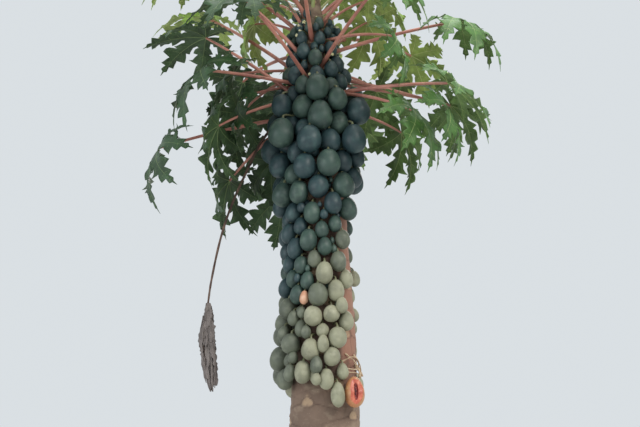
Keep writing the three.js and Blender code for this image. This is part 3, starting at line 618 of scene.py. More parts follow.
def copies_tree():
    """A copy of a shape on every point, faced and sized by the point, with lumps of its own."""
    inputs = {"Shape": "Object", "Lump Height": "Float", "Lump Scale": "Float", "Finish": "Material"}
    tree, start = geometry_tree("copies on points", inputs)
    facing = {"Euler": named_attribute(tree, "facing", "FLOAT_VECTOR")}
    copied = wired(tree, "GeometryNodeInstanceOnPoints", {
        "Points": start["Geometry"],
        "Instance": wired(tree, "GeometryNodeObjectInfo", {"Object": start["Shape"]})["Geometry"],
        "Rotation": wired(tree, "FunctionNodeEulerToRotation", facing)["Rotation"],
        "Scale": named_attribute(tree, "size", "FLOAT_VECTOR"),
    })
    real = wired(tree, "GeometryNodeRealizeInstances", {"Geometry": copied["Instances"]})["Geometry"]
    noise = wired(tree, "ShaderNodeTexNoise", {"Scale": start["Lump Scale"], "Detail": 1})["Fac"]
    centred = wired(tree, "ShaderNodeMath", {0: noise, 1: 0.5}, operation="SUBTRACT")[0]
    height = wired(tree, "ShaderNodeMath", {0: centred, 1: start["Lump Height"]}, operation="MULTIPLY")[0]
    normal = wired(tree, "GeometryNodeInputNormal")["Normal"]
    offset = wired(tree, "ShaderNodeVectorMath", {0: normal, "Scale": height}, operation="SCALE")["Vector"]
    lumps = wired(tree, "GeometryNodeSetPosition", {"Geometry": real, "Offset": offset})["Geometry"]
    return finished_tree(tree, lumps, start["Finish"])


ROD_TREE = rod_tree()
COPIES_TREE = copies_tree()


def grown(name, mesh, tree, values):
    """The plain mesh that a node tree grows from a source mesh."""
    source = placed(name + "_source", mesh)
    modifier = source.modifiers.new("grow", "NODES")
    modifier.node_group = tree
    for item in tree.interface.items_tree:
        if item.in_out == "INPUT" and item.name in values:
            modifier[item.identifier] = values[item.name]
    depsgraph = bpy.context.evaluated_depsgraph_get()
    mesh = bpy.data.meshes.new_from_object(source.evaluated_get(depsgraph))
    mesh.name = name
    source.modifiers.remove(modifier)
    bpy.data.objects.remove(source)
    return placed(name, mesh)


def rods(name, lines, sides, material):
    """Tapering round rods: each line is its points and its radius at each of them."""
    points = np.vstack([line for line, _ in lines])
    ends = np.cumsum([len(line) for line, _ in lines]) - 1
    first = np.setdiff1d(np.arange(len(points)), ends)
    mesh = bpy.data.meshes.new(name)
    mesh.from_pydata(points.tolist(), np.stack([first, first + 1], -1).tolist(), [])
    set_values(mesh, "girth", np.concatenate([girth for _, girth in lines]))
    return grown(name, mesh, ROD_TREE, {"Sides": sides, "Finish": material})


def copies(name, shape, places, material, lump_height=0.0, lump_scale=10.0):
    """Copies of a shape: each place is its point, its turn as angles, and its size each way."""
    mesh = bpy.data.meshes.new(name)
    mesh.from_pydata([tuple(point) for point, _, _ in places], [], [])
    for label, field in (("facing", 1), ("size", 2)):
        set_values(mesh, label, [tuple(place[field]) for place in places])
    values = {"Shape": shape, "Lump Height": lump_height, "Lump Scale": lump_scale, "Finish": material}
    return grown(name, mesh, COPIES_TREE, values)


# Shader groups that several finishes use

def srgb(red, green, blue):
    """A colour as a screen shows it, made linear for the shader."""
    def linear(value):
        value /= 255
        return value / 12.92 if value <= 0.04045 else ((value + 0.055) / 1.055) ** 2.4
    return (linear(red), linear(green), linear(blue), 1)


def shader_group(name, inputs, outputs):
    """A group with number sockets, and the outputs of its inputs with their usual values."""
    tree = bpy.data.node_groups.new(name, "ShaderNodeTree")
    for label, value in inputs.items():
        socket = tree.interface.new_socket(label, in_out="INPUT", socket_type="NodeSocketFloat")
        socket.default_value = value
    for label in outputs:
        tree.interface.new_socket(label, in_out="OUTPUT", socket_type="NodeSocketFloat")
    return tree, wired(tree, "NodeGroupInput")


def blotch_group():
    """Soft patches over a surface: a mask from 0 to 1 whose edges are as sharp as asked."""
    inputs = {"Scale": 8, "Detail": 3, "Low": 0.4, "High": 0.6, "Squeeze": 1}
    tree, start = shader_group("blotches", inputs, ["Mask"])
    place = wired(tree, "ShaderNodeTexCoord")["Object"]
    stretch = wired(tree, "ShaderNodeCombineXYZ", {"X": 1, "Y": 1, "Z": start["Squeeze"]})["Vector"]
    scaled = wired(tree, "ShaderNodeVectorMath", {0: place, 1: stretch}, operation="MULTIPLY")["Vector"]
    noise_inputs = {"Vector": scaled, "Scale": start["Scale"], "Detail": start["Detail"]}
    noise = wired(tree, "ShaderNodeTexNoise", noise_inputs)["Fac"]
    levels = {"Value": noise, "From Min": start["Low"], "From Max": start["High"]}
    wired(tree, "NodeGroupOutput", {"Mask": wired(tree, "ShaderNodeMapRange", levels)["Result"]})
    return tree


def speckle_group():
    """Small round spots, as freckles on a skin or pores in bark: a mask and a height."""
    tree, start = shader_group("speckles", {"Scale": 90, "Size": 0.2}, ["Mask", "Height"])
    place = wired(tree, "ShaderNodeTexCoord")["Object"]
    cells = wired(tree, "ShaderNodeTexVoronoi", {"Vector": place, "Scale": start["Scale"]})["Distance"]
    levels = {"Value": cells, "From Min": 0, "From Max": start["Size"], "To Min": 1, "To Max": 0}
    mask = wired(tree, "ShaderNodeMapRange", levels)["Result"]
    wired(tree, "NodeGroupOutput", {"Mask": mask, "Height": cells})
    return tree


BLOTCHES = blotch_group()
SPECKLES = speckle_group()
# Where the Mix node keeps its sockets for colours
MIX = {"factor": 0, "first": 6, "second": 7, "result": 2}


class Finish:
    """A material under way: its shader, and short ways to add patches, spots and relief."""

    def __init__(self, name, colour, roughness, coat=0.0, sheen=0.0):
        self.material = bpy.data.materials.new(name)
        self.material.use_nodes = True
        self.tree = self.material.node_tree
        self.shader = self.tree.nodes["Principled BSDF"].inputs
        self.colour = self.material.diffuse_color = srgb(*colour)
        self.shader["Base Color"].default_value = self.colour
        self.shader["Roughness"].default_value = roughness
        self.shader["Coat Weight"].default_value = coat
        self.shader["Coat Roughness"].default_value = 0.3
        self.shader["Sheen Weight"].default_value = sheen
        self.bumps = {}

    def group(self, tree, **values):
        return wired(self.tree, "ShaderNodeGroup", values, node_tree=tree)

    def tint(self, mask, colour, share):
        """Mixes a colour in where a mask says so."""
        factor = wired(self.tree, "ShaderNodeMath", {0: mask, 1: share}, operation="MULTIPLY")[0]
        sockets = {MIX["factor"]: factor, MIX["first"]: self.colour, MIX["second"]: srgb(*colour)}
        self.colour = wired(self.tree, "ShaderNodeMix", sockets, data_type="RGBA")[MIX["result"]]
        self.tree.links.new(self.colour, self.shader["Base Color"])

    def patches(self, colour, scale, low, high, share, squeeze=1):
        mask = self.group(BLOTCHES, Scale=scale, Low=low, High=high, Squeeze=squeeze)["Mask"]
        self.tint(mask, colour, share)

    def spots(self, colour, scale, size, share):
        self.tint(self.group(SPECKLES, Scale=scale, Size=size)["Mask"], colour, share)

    def attribute(self, name, colour, share):
        self.tint(wired(self.tree, "ShaderNodeAttribute", attribute_name=name)["Fac"], colour, share)

    def relief(self, scale, distance, strength, detail=4, squeeze=1):
        """Fine bumps, as a height in metres."""
        height = self.group(BLOTCHES, Scale=scale, Low=0, High=1, Detail=detail, Squeeze=squeeze)["Mask"]
        self.bump(height, distance, strength)

    def bump(self, height, distance, strength):
        self.bumps.update(Height=height, Distance=distance, Strength=strength)
        normal = wired(self.tree, "ShaderNodeBump", self.bumps)["Normal"]
        self.tree.links.new(normal, self.shader["Normal"])
        self.bumps["Normal"] = normal


# Finishes

def bark_finish():
    bark = Finish("bark", (136, 114, 98), 0.88)
    bark.patches((106, 88, 76), 3.2, 0.42, 0.62, 0.8)
    # Rust-red tone of the bark, stronger on the front-right side as painted sunlight
    bark.attribute("rust", (155, 111, 93), 0.8)
    bark.patches((160, 142, 122), 9, 0.56, 0.72, 0.55, squeeze=1.8)
    bark.attribute("shade", (72, 62, 54), 0.75)
    bark.patches((74, 56, 47), 26, 0.58, 0.75, 0.5, squeeze=0.35)
    bark.attribute("groove", (70, 50, 42), 0.75)
    bark.attribute("scar", (178, 152, 124), 0.8)
    bark.spots((186, 166, 142), 62, 0.16, 0.55)
    bark.relief(70, 0.004, 0.6, squeeze=0.4)
    bark.relief(240, 0.0012, 0.6)
    return bark.material


# Lit and shaded copies of one fruit skin, as painted light and shade: from the painted shade of those under
# the crown to the painted sunlight of the pale ones at breast height
FRUIT_TINTS = table(
    "name skin deep light rough coat",
    ("night", (38, 62, 66), (27, 46, 52), (60, 88, 86), 0.56, 0.16),
    ("shade", (54, 76, 68), (40, 58, 54), (84, 106, 92), 0.56, 0.14),
    ("olive", (98, 104, 88), (74, 80, 68), (126, 130, 112), 0.58, 0.08),
    ("pale", (148, 148, 124), (118, 118, 98), (174, 172, 148), 0.6, 0.04),
    ("ripe", (208, 158, 128), (186, 130, 102), (228, 196, 172), 0.55, 0.06),
)


def fruit_finish(tint):
    skin = Finish("fruit_skin_" + tint["name"], tint["skin"], tint["rough"], coat=tint["coat"])
    skin.patches(tint["deep"], 11, 0.44, 0.66, 0.8)
    skin.patches(tint["light"], 19, 0.52, 0.72, 0.6)
    skin.spots(tint["light"], 170, 0.13, 0.7)
    skin.relief(45, 0.0022, 0.35, detail=2)
    skin.relief(420, 0.0005, 0.4)
    return skin.material


# Leaf tints: bright is partly young green and partly painted light shining through, deep is painted shade
LEAF_TINTS = table(
    "name top under vein",
    ("bright", (126, 158, 62), (152, 172, 92), (196, 206, 140)),
    ("green", (66, 106, 40), (96, 124, 66), (150, 168, 104)),
    ("deep", (40, 70, 34), (64, 88, 54), (112, 132, 84)),
)


def shaded(colour, share, more=0):
    return tuple(min(255, share * value + more) for value in colour)


def leaf_finish(tint, side, roughness):
    blade = Finish(f"leaf_{tint['name']}_{side}", tint[side], roughness)
    blade.patches(shaded(tint[side], 0.72), 7, 0.42, 0.62, 0.7)
    blade.patches(shaded(tint[side], 1.2, 8), 22, 0.5, 0.7, 0.5)
    blade.relief(60, 0.003, 0.35, detail=3)
    return blade.material


def vein_finish(tint):
    vein = Finish("leaf_vein_" + tint["name"], tint["vein"], 0.5)
    vein.patches(shaded(tint["vein"], 0.8), 12, 0.45, 0.6, 0.7)
    return vein.material


def stalk_finish(name, colour, darker, lighter):
    stalk = Finish(name, colour, 0.42, coat=0.1)
    stalk.patches(darker, 6, 0.42, 0.62, 0.75)
    stalk.patches(lighter, 24, 0.55, 0.72, 0.5)
    stalk.relief(160, 0.0012, 0.4, squeeze=0.5)
    return stalk.material


def dry_finish(name, colour, darker, lighter):
    dry = Finish(name, colour, 0.95)
    dry.patches(darker, 18, 0.42, 0.62, 0.85)
    dry.patches(lighter, 34, 0.54, 0.7, 0.6, squeeze=0.5)
    dry.relief(120, 0.002, 0.5, squeeze=0.4)
    return dry.material


def flesh_finish(name, colour, darker, lighter):
    flesh = Finish(name, colour, 0.38, coat=0.25)
    flesh.patches(darker, 28, 0.45, 0.62, 0.75)
    flesh.patches(lighter, 60, 0.55, 0.72, 0.5)
    flesh.relief(150, 0.002, 0.5)
    return flesh.material


def ripe_skin_finish():
    skin = Finish("ripe_skin", (190, 130, 88), 0.5, coat=0.06)
    skin.patches((162, 104, 76), 13, 0.42, 0.62, 0.8)
    skin.patches((200, 166, 118), 24, 0.52, 0.7, 0.6)
    skin.spots((120, 74, 44), 180, 0.14, 0.6)
    skin.relief(60, 0.002, 0.4)
    return skin.material


def seed_finish():
    seed = Finish("papaya_seed", (58, 28, 26), 0.36, coat=0.3)
    seed.patches((74, 34, 26), 60, 0.5, 0.65, 0.7)
    seed.bump(seed.group(SPECKLES, Scale=700)["Height"], 0.0006, 0.5)
    return seed.material


def petal_finish():
    petal = Finish("petal", (226, 220, 184), 0.55, sheen=0.1)
    petal.patches((206, 204, 150), 60, 0.45, 0.6, 0.7)
    return petal.material


# The trunk
BARK_GRID = {"rows": 530, "columns": 172}
# Waves of the bark: depth, cells round and up the trunk, and seed
BARK_WAVES = ((0.0045, 9, 34, 11), (0.0022, 26, 120, 12), (0.0012, 80, 210, 13))
SCAR = {
    "step": 0.036, "band": 0.09, "least": 0.55, "half_width": 0.040, "half_height": 0.026, "bend": 0.25,
    "depth": 0.0045, "rim": 0.0040, "bud": 0.006, "bud_above": 0.036, "crease": 0.004, "bundle": 0.0015,
}
# Heights between which a colour fades in, and those between which it fades out again
RUST_HEIGHTS = (1.62, 1.86, 3.1, 3.7)
SHADE_HEIGHTS = (1.64, 1.76, 3.8, 4.2)
# The side where the rust-red tone is strongest: painted sunlight
SUNLIT_RUST_SIDE = {"turn": -0.9, "least": 0.45}
BARE_EDGE = 0.1


def cell_noise(turn, z, cells_round, cells_up, seed):
    """Smooth random waves from -1 to 1 round and up the trunk, that close on themselves."""
    heights = np.random.default_rng(seed).uniform(-1, 1, (cells_up + 2, cells_round))
    across = turn / (2 * math.pi) * cells_round
    up = np.clip(z / TRUNK_HEIGHT, 0, 1) * cells_up
    cell = np.floor(across).astype(int)
    row = np.floor(up).astype(int)
    fx, fy = smooth_step(0, 1, across - cell), smooth_step(0, 1, up - row)
    left, right = cell % cells_round, (cell + 1) % cells_round
    low = heights[row, left] * (1 - fx) + heights[row, right] * fx
    high = heights[row + 1, left] * (1 - fx) + heights[row + 1, right] * fx
    return low * (1 - fy) + high * fy


def smooth_step(low, high, value):
    share = np.clip((value - low) / (high - low), 0, 1)
    return share * share * (3 - 2 * share)


def within(value, low, low_end, high, high_end):
    """1 between two limits and 0 past them, with soft ends."""
    return smooth_step(low, low_end, value) * (1 - smooth_step(high, high_end, value))


def bell(value, middle, width):
    return np.exp(-(((value - middle) / width) ** 2))


def bark_relief(turn, z):
    """How far the bark stands out at each point, and where leaf scars and grooves lie."""
    height = sum(depth * cell_noise(turn, z, *cells) for depth, *cells in BARK_WAVES)
    scar = np.zeros_like(height)
    groove = np.zeros_like(height)
    for i in range(-int(LEAF_ZONE["from"] / SCAR["step"]), LEAF_COUNT):
        centre = LEAF_ZONE["from"] + SCAR["step"] * i
        rows = np.abs(z[:, 0] - centre) < SCAR["band"]
        radius = trunk_radius(centre)
        size = SCAR["least"] + (1 - SCAR["least"]) * radius / FOOT_RADIUS
        aside = np.abs(wrapped(turn[rows] - leaf_turn(i + 1))) * radius / size
        above = (z[rows] - centre) / size + SCAR["bend"] * aside
        out = np.hypot(aside / SCAR["half_width"], above / SCAR["half_height"])
        inside = 1 - smooth_step(0.82, 1.05, out)
        bud = bell(aside, 0, 0.012) * bell(above, SCAR["bud_above"], 0.010)
        crease = bell(above, 0, 0.005) * bell(aside, 0, 0.20) * (1 - inside)
        bundles = bell(out, 0.55, 0.10) * (np.cos(9 * np.arctan2(above, aside)) > 0.4)
        raised = SCAR["rim"] * bell(out, 1.02, 0.16) + SCAR["bud"] * bud
        height[rows] += size * (raised - SCAR["depth"] * inside - SCAR["crease"] * crease)
        height[rows] -= SCAR["bundle"] * bundles * inside
        scar[rows] = np.maximum.reduce([scar[rows], inside - 0.5 * bundles, 0.7 * bud])
        groove[rows] = np.maximum.reduce([groove[rows], crease, 0.6 * bell(out, 1.2, 0.1)])
    return height, np.clip(scar, 0, 1), np.clip(groove, 0, 1)


def bark_colours(turn, z):
    """Where the bark is rust-red, stronger on the front-right side as painted sunlight, and where the fruit
    shade it, as painted shade.
    """
    side = 0.5 + 0.5 * np.cos(turn - SUNLIT_RUST_SIDE["turn"])
    rust = within(z, *RUST_HEIGHTS) * (SUNLIT_RUST_SIDE["least"] + (1 - SUNLIT_RUST_SIDE["least"]) * side)
    limits = [BARE_SIDE[end] + edge for end in ("from", "to") for edge in (-BARE_EDGE, BARE_EDGE)]
    below = 1 - smooth_step(BARE_SIDE["below"] - BARE_EDGE, BARE_SIDE["below"] + BARE_EDGE, z)
    return rust, within(z, *SHADE_HEIGHTS) * (1 - within(wrapped(turn), *limits) * below)


def trunk_bark():
    """The whole stem with leaf scars, growth rings and root ridges, closed at both ends."""
    rows, columns = BARK_GRID["rows"], BARK_GRID["columns"]
    z, turn = np.meshgrid(np.linspace(0, TRUNK_HEIGHT, rows), turns(columns), indexing="ij")
    height, scar, groove = bark_relief(turn, z)
    rust, shade = bark_colours(turn, z)
    ridge = np.cos(ROOT_RIDGES["count"] * (turn - math.pi / 2)) * np.exp(-z / FLARE_HEIGHT)
    reach = trunk_radius(z) * (1 + ROOT_RIDGES["share"] * ridge) + height
    corners = (trunk_axis(z) + polar(reach, turn)).reshape(-1, 3)
    around = np.arange(columns)
    beside = (around + 1) % columns
    top = len(corners) - columns
    foot_cap = np.stack([np.full(columns, len(corners)), beside, around], -1)
    top_cap = np.stack([np.full(columns, len(corners) + 1), top + around, top + beside], -1)
    faces = np.vstack([grid_faces(rows, columns, wrap=True), foot_cap, top_cap])
    corners = np.vstack([corners, trunk_axis([0, TRUNK_HEIGHT])])
    piece = mesh_object("trunk_bark", corners, faces, [bark_finish()])
    for label, values in (("scar", scar), ("groove", groove), ("rust", rust), ("shade", shade)):
        set_values(piece.data, label, np.append(values.ravel(), [0, 0]))
    return piece


# Fruit
FRUIT_GRID = {"rings": 14, "sides": 21}
FRUIT_FILL = 1.03
FRUIT_RIBS = {"count": 5, "depth": 0.022}
FRUIT_LUMPS = (0.008, 14)
FRUIT_DRAW_SEED = 5
DRAWN_SHARE = 0.35
# One small fruit has ripened early, near this turn, height and distance out
EARLY_FRUIT = (math.radians(-116), 2.215, 0.05)
# Small fruit are thrown at the gaps like darts, from the widest to the least
SPARE = {
    "seed": 29, "darts": 9000, "widest": 0.074, "least": 0.026, "tall": (1.15, 1.5),
    "from": 1.70, "to": 4.0, "out": (0.004, 0.055), "overlap": 0.004,
    "low": 2.25, "low_overlap": 0.011, "low_least": 0.048, "high": 3.5, "high_widest": 0.055,
}
# A fruit's score for painted light, which falls with its height, and the scores that the lighter tints start
# from; small fruit in the gaps lose some score as painted shade
TINT = {"middle": 2.62, "spread": 0.16, "spare": 0.3, "pale": 0.38, "olive": 0.12, "shade": -0.22}
# Painted shade on the tree's left side: how the score falls towards the left edge, below that height
SHADED_LEFT_EDGE = {"below": 2.75, "slope": 1.1, "steep": 3.4, "from": 0.09}
NEVER_DARK_BELOW = 2.22
SHADE_CHANCE = 0.18
# A fruit's stalk: where it joins the fruit, how its foot lies, and how it bows, in widths or metres
FRUIT_STALK = {
    "joins": 0.455, "above": 0.25, "depth": 0.008, "bow": 0.35, "bulge": 0.008, "lift": 0.004,
    "neck": 0.18, "short": 0.03, "full_width": 0.11,
}


def fruit_shape(name, narrowing, nipple):
    """A fruit one unit wide and long, stem end up: five soft ribs, drawn in towards the stem."""
    rise = np.linspace(0, math.pi, FRUIT_GRID["rings"])[:, None]
    ribs = FRUIT_RIBS["depth"] * np.cos(FRUIT_RIBS["count"] * turns(FRUIT_GRID["sides"]))
    up = -0.5 * np.cos(rise)
    out = 0.5 * np.sin(rise) ** 0.92 * (1 - narrowing * (up + 0.1)) * (1 + ribs * np.sin(rise))
    up = up - nipple * bell(rise, 0, 0.3) - 0.03 * bell(rise, math.pi, 0.35)
    return ringed_shape(name, out * 0.5 / out.max(), up)


def fruit_facing(fruit, spin):
    """Angles that turn a fruit outwards, its top leaning on the trunk."""
    turned = Matrix.Rotation(fruit["turn"], 3, "Z") @ Matrix.Rotation(-FRUIT_TILT, 3, "Y")
    return (turned @ Matrix.Rotation(spin, 3, "Z")).to_euler()


def spare_fruit(fruits, posts):
    """Small fruit that have stayed behind in the gaps between the others."""
    draw = np.random.default_rng(SPARE["seed"]).uniform
    at, width = list(column(fruits, "at")), list(column(fruits, "width"))
    tall = list(column(fruits, "length") / column(fruits, "width"))
    found = []
    for share in np.arange(SPARE["darts"]) / SPARE["darts"]:
        wide = SPARE["widest"] + (SPARE["least"] - SPARE["widest"]) * share
        long = wide * draw(*SPARE["tall"])
        z = draw(SPARE["from"], SPARE["to"])
        turn = draw(-math.pi, math.pi)
        point = beside_trunk(turn, z, wide / 2 + draw(*SPARE["out"]))
        too_wide = z > SPARE["high"] and wide > SPARE["high_widest"]
        too_small = z < SPARE["low"] and wide < SPARE["low_least"]
        if on_side(BARE_SIDE, turn, z) or too_wide or too_small:
            continue
        apart = np.array(at) - point
        apart[:, 2] /= (np.array(tall) + long / wide) / 2
        overlap = SPARE["low_overlap" if z < SPARE["low"] else "overlap"]
        if (np.linalg.norm(apart, axis=1) < (np.array(width) + wide) / 2 - overlap).any():
            continue
        near = nearest_on_posts(point, posts)
        if np.linalg.norm(near - point, axis=1).min() < wide / 2 + STALK_FOOT:
            continue
        at.append(point)
        width.append(wide)
        tall.append(long / wide)
        found.append({"at": point, "width": wide, "length": long, "turn": turn, "z": z, "spare": True})
    return found


def tint_of(fruit, draw):
    """Painted shade under the crown, pale painted sunlight at breast height, and darker painted shade
    towards the left edge and on small fruit in the gaps.
    """
    aside = from_axis(fruit["at"])[0]
    score = TINT["middle"] - fruit["z"] + draw(-TINT["spread"], TINT["spread"])
    # Painted shade on the left side of the tree
    if fruit["z"] < SHADED_LEFT_EDGE["below"]:
        score += SHADED_LEFT_EDGE["slope"] * aside + SHADED_LEFT_EDGE["steep"] * min(aside + SHADED_LEFT_EDGE["from"], 0)
    # Small fruit in the gaps get painted shade
    if fruit.get("spare"):
        score -= TINT["spare"]
    if fruit["z"] < NEVER_DARK_BELOW:
        score = max(score, TINT["olive"] + 0.01)
    if score > TINT["olive"]:
        return "pale" if score > TINT["pale"] else "olive"
    return "shade" if score > TINT["shade"] or draw() < SHADE_CHANCE else "night"


def fruit_pieces(fruits, spare):
    draw = np.random.default_rng(FRUIT_DRAW_SEED).uniform
    shapes = {"full": fruit_shape("full_fruit_shape", 0.16, 0.014),
              "drawn": fruit_shape("drawn_fruit_shape", 0.34, 0.022)}
    early = min(spare, key=lambda fruit: np.linalg.norm(fruit["at"] - beside_trunk(*EARLY_FRUIT)))
    places = {}
    for fruit in fruits + spare:
        if fruit.get("opened"):
            continue
        tint = tint_of(fruit, draw)
        if fruit is early:
            tint = "ripe"
        kind = "drawn" if draw() < DRAWN_SHARE or fruit.get("spare") else "full"
        size = FRUIT_FILL * np.array([fruit["width"], fruit["width"], fruit["length"]])
        places.setdefault((tint, kind), []).append((fruit["at"], fruit_facing(fruit, draw(0, 6.28)), size))
    finishes = {tint["name"]: fruit_finish(tint) for tint in FRUIT_TINTS}
    pieces = [
        copies(f"fruit_{tint}_{kind}", shapes[kind], rows, finishes[tint], *FRUIT_LUMPS)
        for (tint, kind), rows in sorted(places.items())
    ]
    for shape in shapes.values():
        bpy.data.objects.remove(shape)
    return pieces


def along_line(count, stops, values):
    """A value at each of count points of a line, from its values at shares of the way."""
    return np.interp(np.linspace(0, 1, count), stops, values)


def fruit_stalk_lines(fruits):
    """A short thick stalk from the bark to the top of each fruit, widening to its calyx."""
    stalk = FRUIT_STALK
    girth = along_line(8, [0, 0.2, 0.75, 1], [0.0085, 0.0065, 0.006, 0.012])
    lines = []
    for fruit in fruits:
        away = polar(1, fruit["turn"])
        lean = np.array([0, 0, math.cos(FRUIT_TILT)]) - away * math.sin(FRUIT_TILT)
        top = fruit["at"] + lean * stalk["joins"] * fruit["length"]
        foot = beside_trunk(fruit["turn"], top[2] + stalk["above"] * fruit["width"], -stalk["depth"])
        reach = np.linalg.norm(from_axis(top)) - trunk_radius(top[2])
        bow = foot + away * (stalk["bow"] * reach + stalk["bulge"]) + np.array([0, 0, stalk["lift"]])
        over = top + lean * stalk["neck"] * fruit["width"] * min(1, reach / stalk["short"])
        size = min(1, fruit["width"] / stalk["full_width"])
        lines.append((smooth_curve([foot, bow, over, top], 7), girth * size))
    return lines


# Leaf blades
REACH_TURNS = (0, 42, 86, 134, 180)
REACH_SHARES = (1, 0.95, 0.83, 0.6, 0.6)
# How deep neighbouring lobes are joined, as shares of the blade, by the turn of the outer one
NOTCHES = {42: 0.33, 86: 0.29, 134: 0.21}
REAR_EDGE = {"turn": 34, "depth": 0.20}
# A lobe's outline past its notch: where its rows leave the rib and how far out they reach
SIDE_LOBES = (
    (0.18, 0.0), (0.285, 0.095), (0.372, 0.180), (0.435, 0.100), (0.515, 0.240), (0.635, 0.082),
    (0.730, 0.142), (0.800, 0.042), (0.868, 0.064), (0.915, 0.018), (1.0, 0.0),
)
SIDE_SHEAR = 0.7
WEB_ROWS = 4
SIDE_STEPS = 4
BLADE_COLUMNS = np.array([0, 0.22, 0.48, 0.75, 1])
BLADE_THICKNESS = 0.0014
LOBE_SPREAD = {"sway": 0.22, "dip": 0.30, "ripple": 0.010}
BEND_FROM = 0.25
# How far along their lobe's rib or side lobe the veins run, and how thick they start and end
RIB = {"to": 0.985, "radii": (0.0090, 0.0022)}
SIDE_VEIN = {"to": 0.93, "radii": (0.0040, 0.0014)}
# Leaves above this height take the bright tint, partly their young green and partly painted light shining
# through them; those left of the next take the deep tint, as painted shade
YOUNG_AND_BACKLIT_ABOVE = 3.93
SHADED_LEFT_OF = -0.30
LEAVES_A_PIECE = 15
LEAF_DRAW_SEED = 77


def lobes_of(draw):
    """The lobes of one blade, each bent aside, hanging and rippled in its own way."""
    return [
        {
            "turn": turn,
            "length": length,
            "sway": LOBE_SPREAD["sway"] * draw(-1, 1),
            "dip": LOBE_SPREAD["dip"] * draw(-1, 0.5),
            "phase": draw(0, 6.28),
            "waves": draw(16, 26),
        }
        for turn, length in LOBES
    ]


def on_blade(leaf, lobe, along, aside):
    """Points of a blade, from shares of a lobe's length along its rib and out from it."""
    past = np.maximum(along - BEND_FROM, 0)
    bent = aside + lobe["sway"] * past**2
    angle = math.radians(lobe["turn"])
    flat_x = lobe["length"] * (along * math.cos(angle) - bent * math.sin(angle))
    flat_y = lobe["length"] * (along * math.sin(angle) + bent * math.cos(angle))
    facing = np.arctan2(flat_y, flat_x)
    full = np.interp(np.degrees(np.abs(facing)), REACH_TURNS, REACH_SHARES)
    out, height = bent_reach(leaf, full, np.hypot(flat_x, flat_y) / full)
    size = leaf["blade"] * lobe["length"]
    height = height + KEEL * np.abs(aside) * size + lobe["dip"] * past**2 * size
    wave = np.sin(lobe["waves"] * along + lobe["phase"] + 1.4 * np.sign(aside))
    edge = (np.abs(aside) / 0.15) ** 2 * np.minimum(past * 8, 1)
    axes, origin = blade_frame(leaf)
    return polar(out, facing, height + LOBE_SPREAD["ripple"] * wave * edge) @ axes + origin


def lobe_edge(lobe, side):
    """Where each row of one side of a lobe starts on the rib, and where it ends."""
    turn = lobe["turn"]
    depth, half = REAR_EDGE["depth"], REAR_EDGE["turn"]
    for other, _ in LOBES:
        if 0 < (other - turn) * side < 60:
            depth, half = NOTCHES[max(abs(turn), abs(other))], abs(other - turn) / 2
    share = np.arange(WEB_ROWS + 1)[:, None] / WEB_ROWS
    web = polar(1, math.radians(half))[:2] * share * depth / lobe["length"]
    start_rib, start = SIDE_LOBES[0][0], web[-1]
    ribs = [share * start_rib]
    ends = [web]
    step = np.arange(1, SIDE_STEPS + 1)[:, None] / SIDE_STEPS
    for rib, out in SIDE_LOBES[1:]:
        end = np.array([rib + SIDE_SHEAR * out, out])
        bend = step**0.7 if out > start[1] else 1 - (1 - step) ** 0.8
        ends.append(start + (end - start) * np.hstack([step, bend]))
        ribs.append(start_rib + (rib - start_rib) * step)
        start_rib, start = rib, end
    return np.vstack(ribs), np.vstack(ends)


def blade_mesh(leaf, lobes):
    """A whole blade, upper side out: seven lobes, each cut into pointed side lobes."""
    parts = []
    for lobe in lobes:
        for side in (1, -1):
            ribs, ends = lobe_edge(lobe, side)
            along = ribs + (ends[:, :1] - ribs) * BLADE_COLUMNS
            corners = on_blade(leaf, lobe, along, side * ends[:, 1:] * BLADE_COLUMNS).reshape(-1, 3)
            parts.append((corners, grid_faces(len(ribs), len(BLADE_COLUMNS), turned=side > 0)))
    return welded(*joined(parts))[:2]


def vein_lines(leaf, lobes):
    """The seven main ribs of a blade, and the veins that run to its side lobes' tips."""
    lines = []
    for lobe in lobes:
        size = leaf["blade"] * lobe["length"]
        along = np.linspace(0, RIB["to"], 14)
        points = on_blade(leaf, lobe, along, np.zeros_like(along))
        lines.append((points, np.interp(along, [0, 1], [radius * size for radius in RIB["radii"]])))
        share = np.linspace(0, SIDE_VEIN["to"], 4)
        girth = np.interp(share, [0, 1], [radius * size for radius in SIDE_VEIN["radii"]])
        for side in (1, -1):
            for rib, out in SIDE_LOBES[2:-1:2]:
                points = on_blade(leaf, lobe, rib + SIDE_SHEAR * out * share, side * out * share)
                lines.append((points, girth))
    return lines


# Leaves between those of the source, on shorter stalks: they close the crown near the trunk
INNER_LEAVES = {
    "count": 15, "seed": 12, "tries": 220, "clearance": 0.060, "least": 0.012, "pull": 0.12,
    "stalk_share": 0.56, "blade_share": 0.86, "steeper": 10, "from": 3.56, "to": 4.32,
}
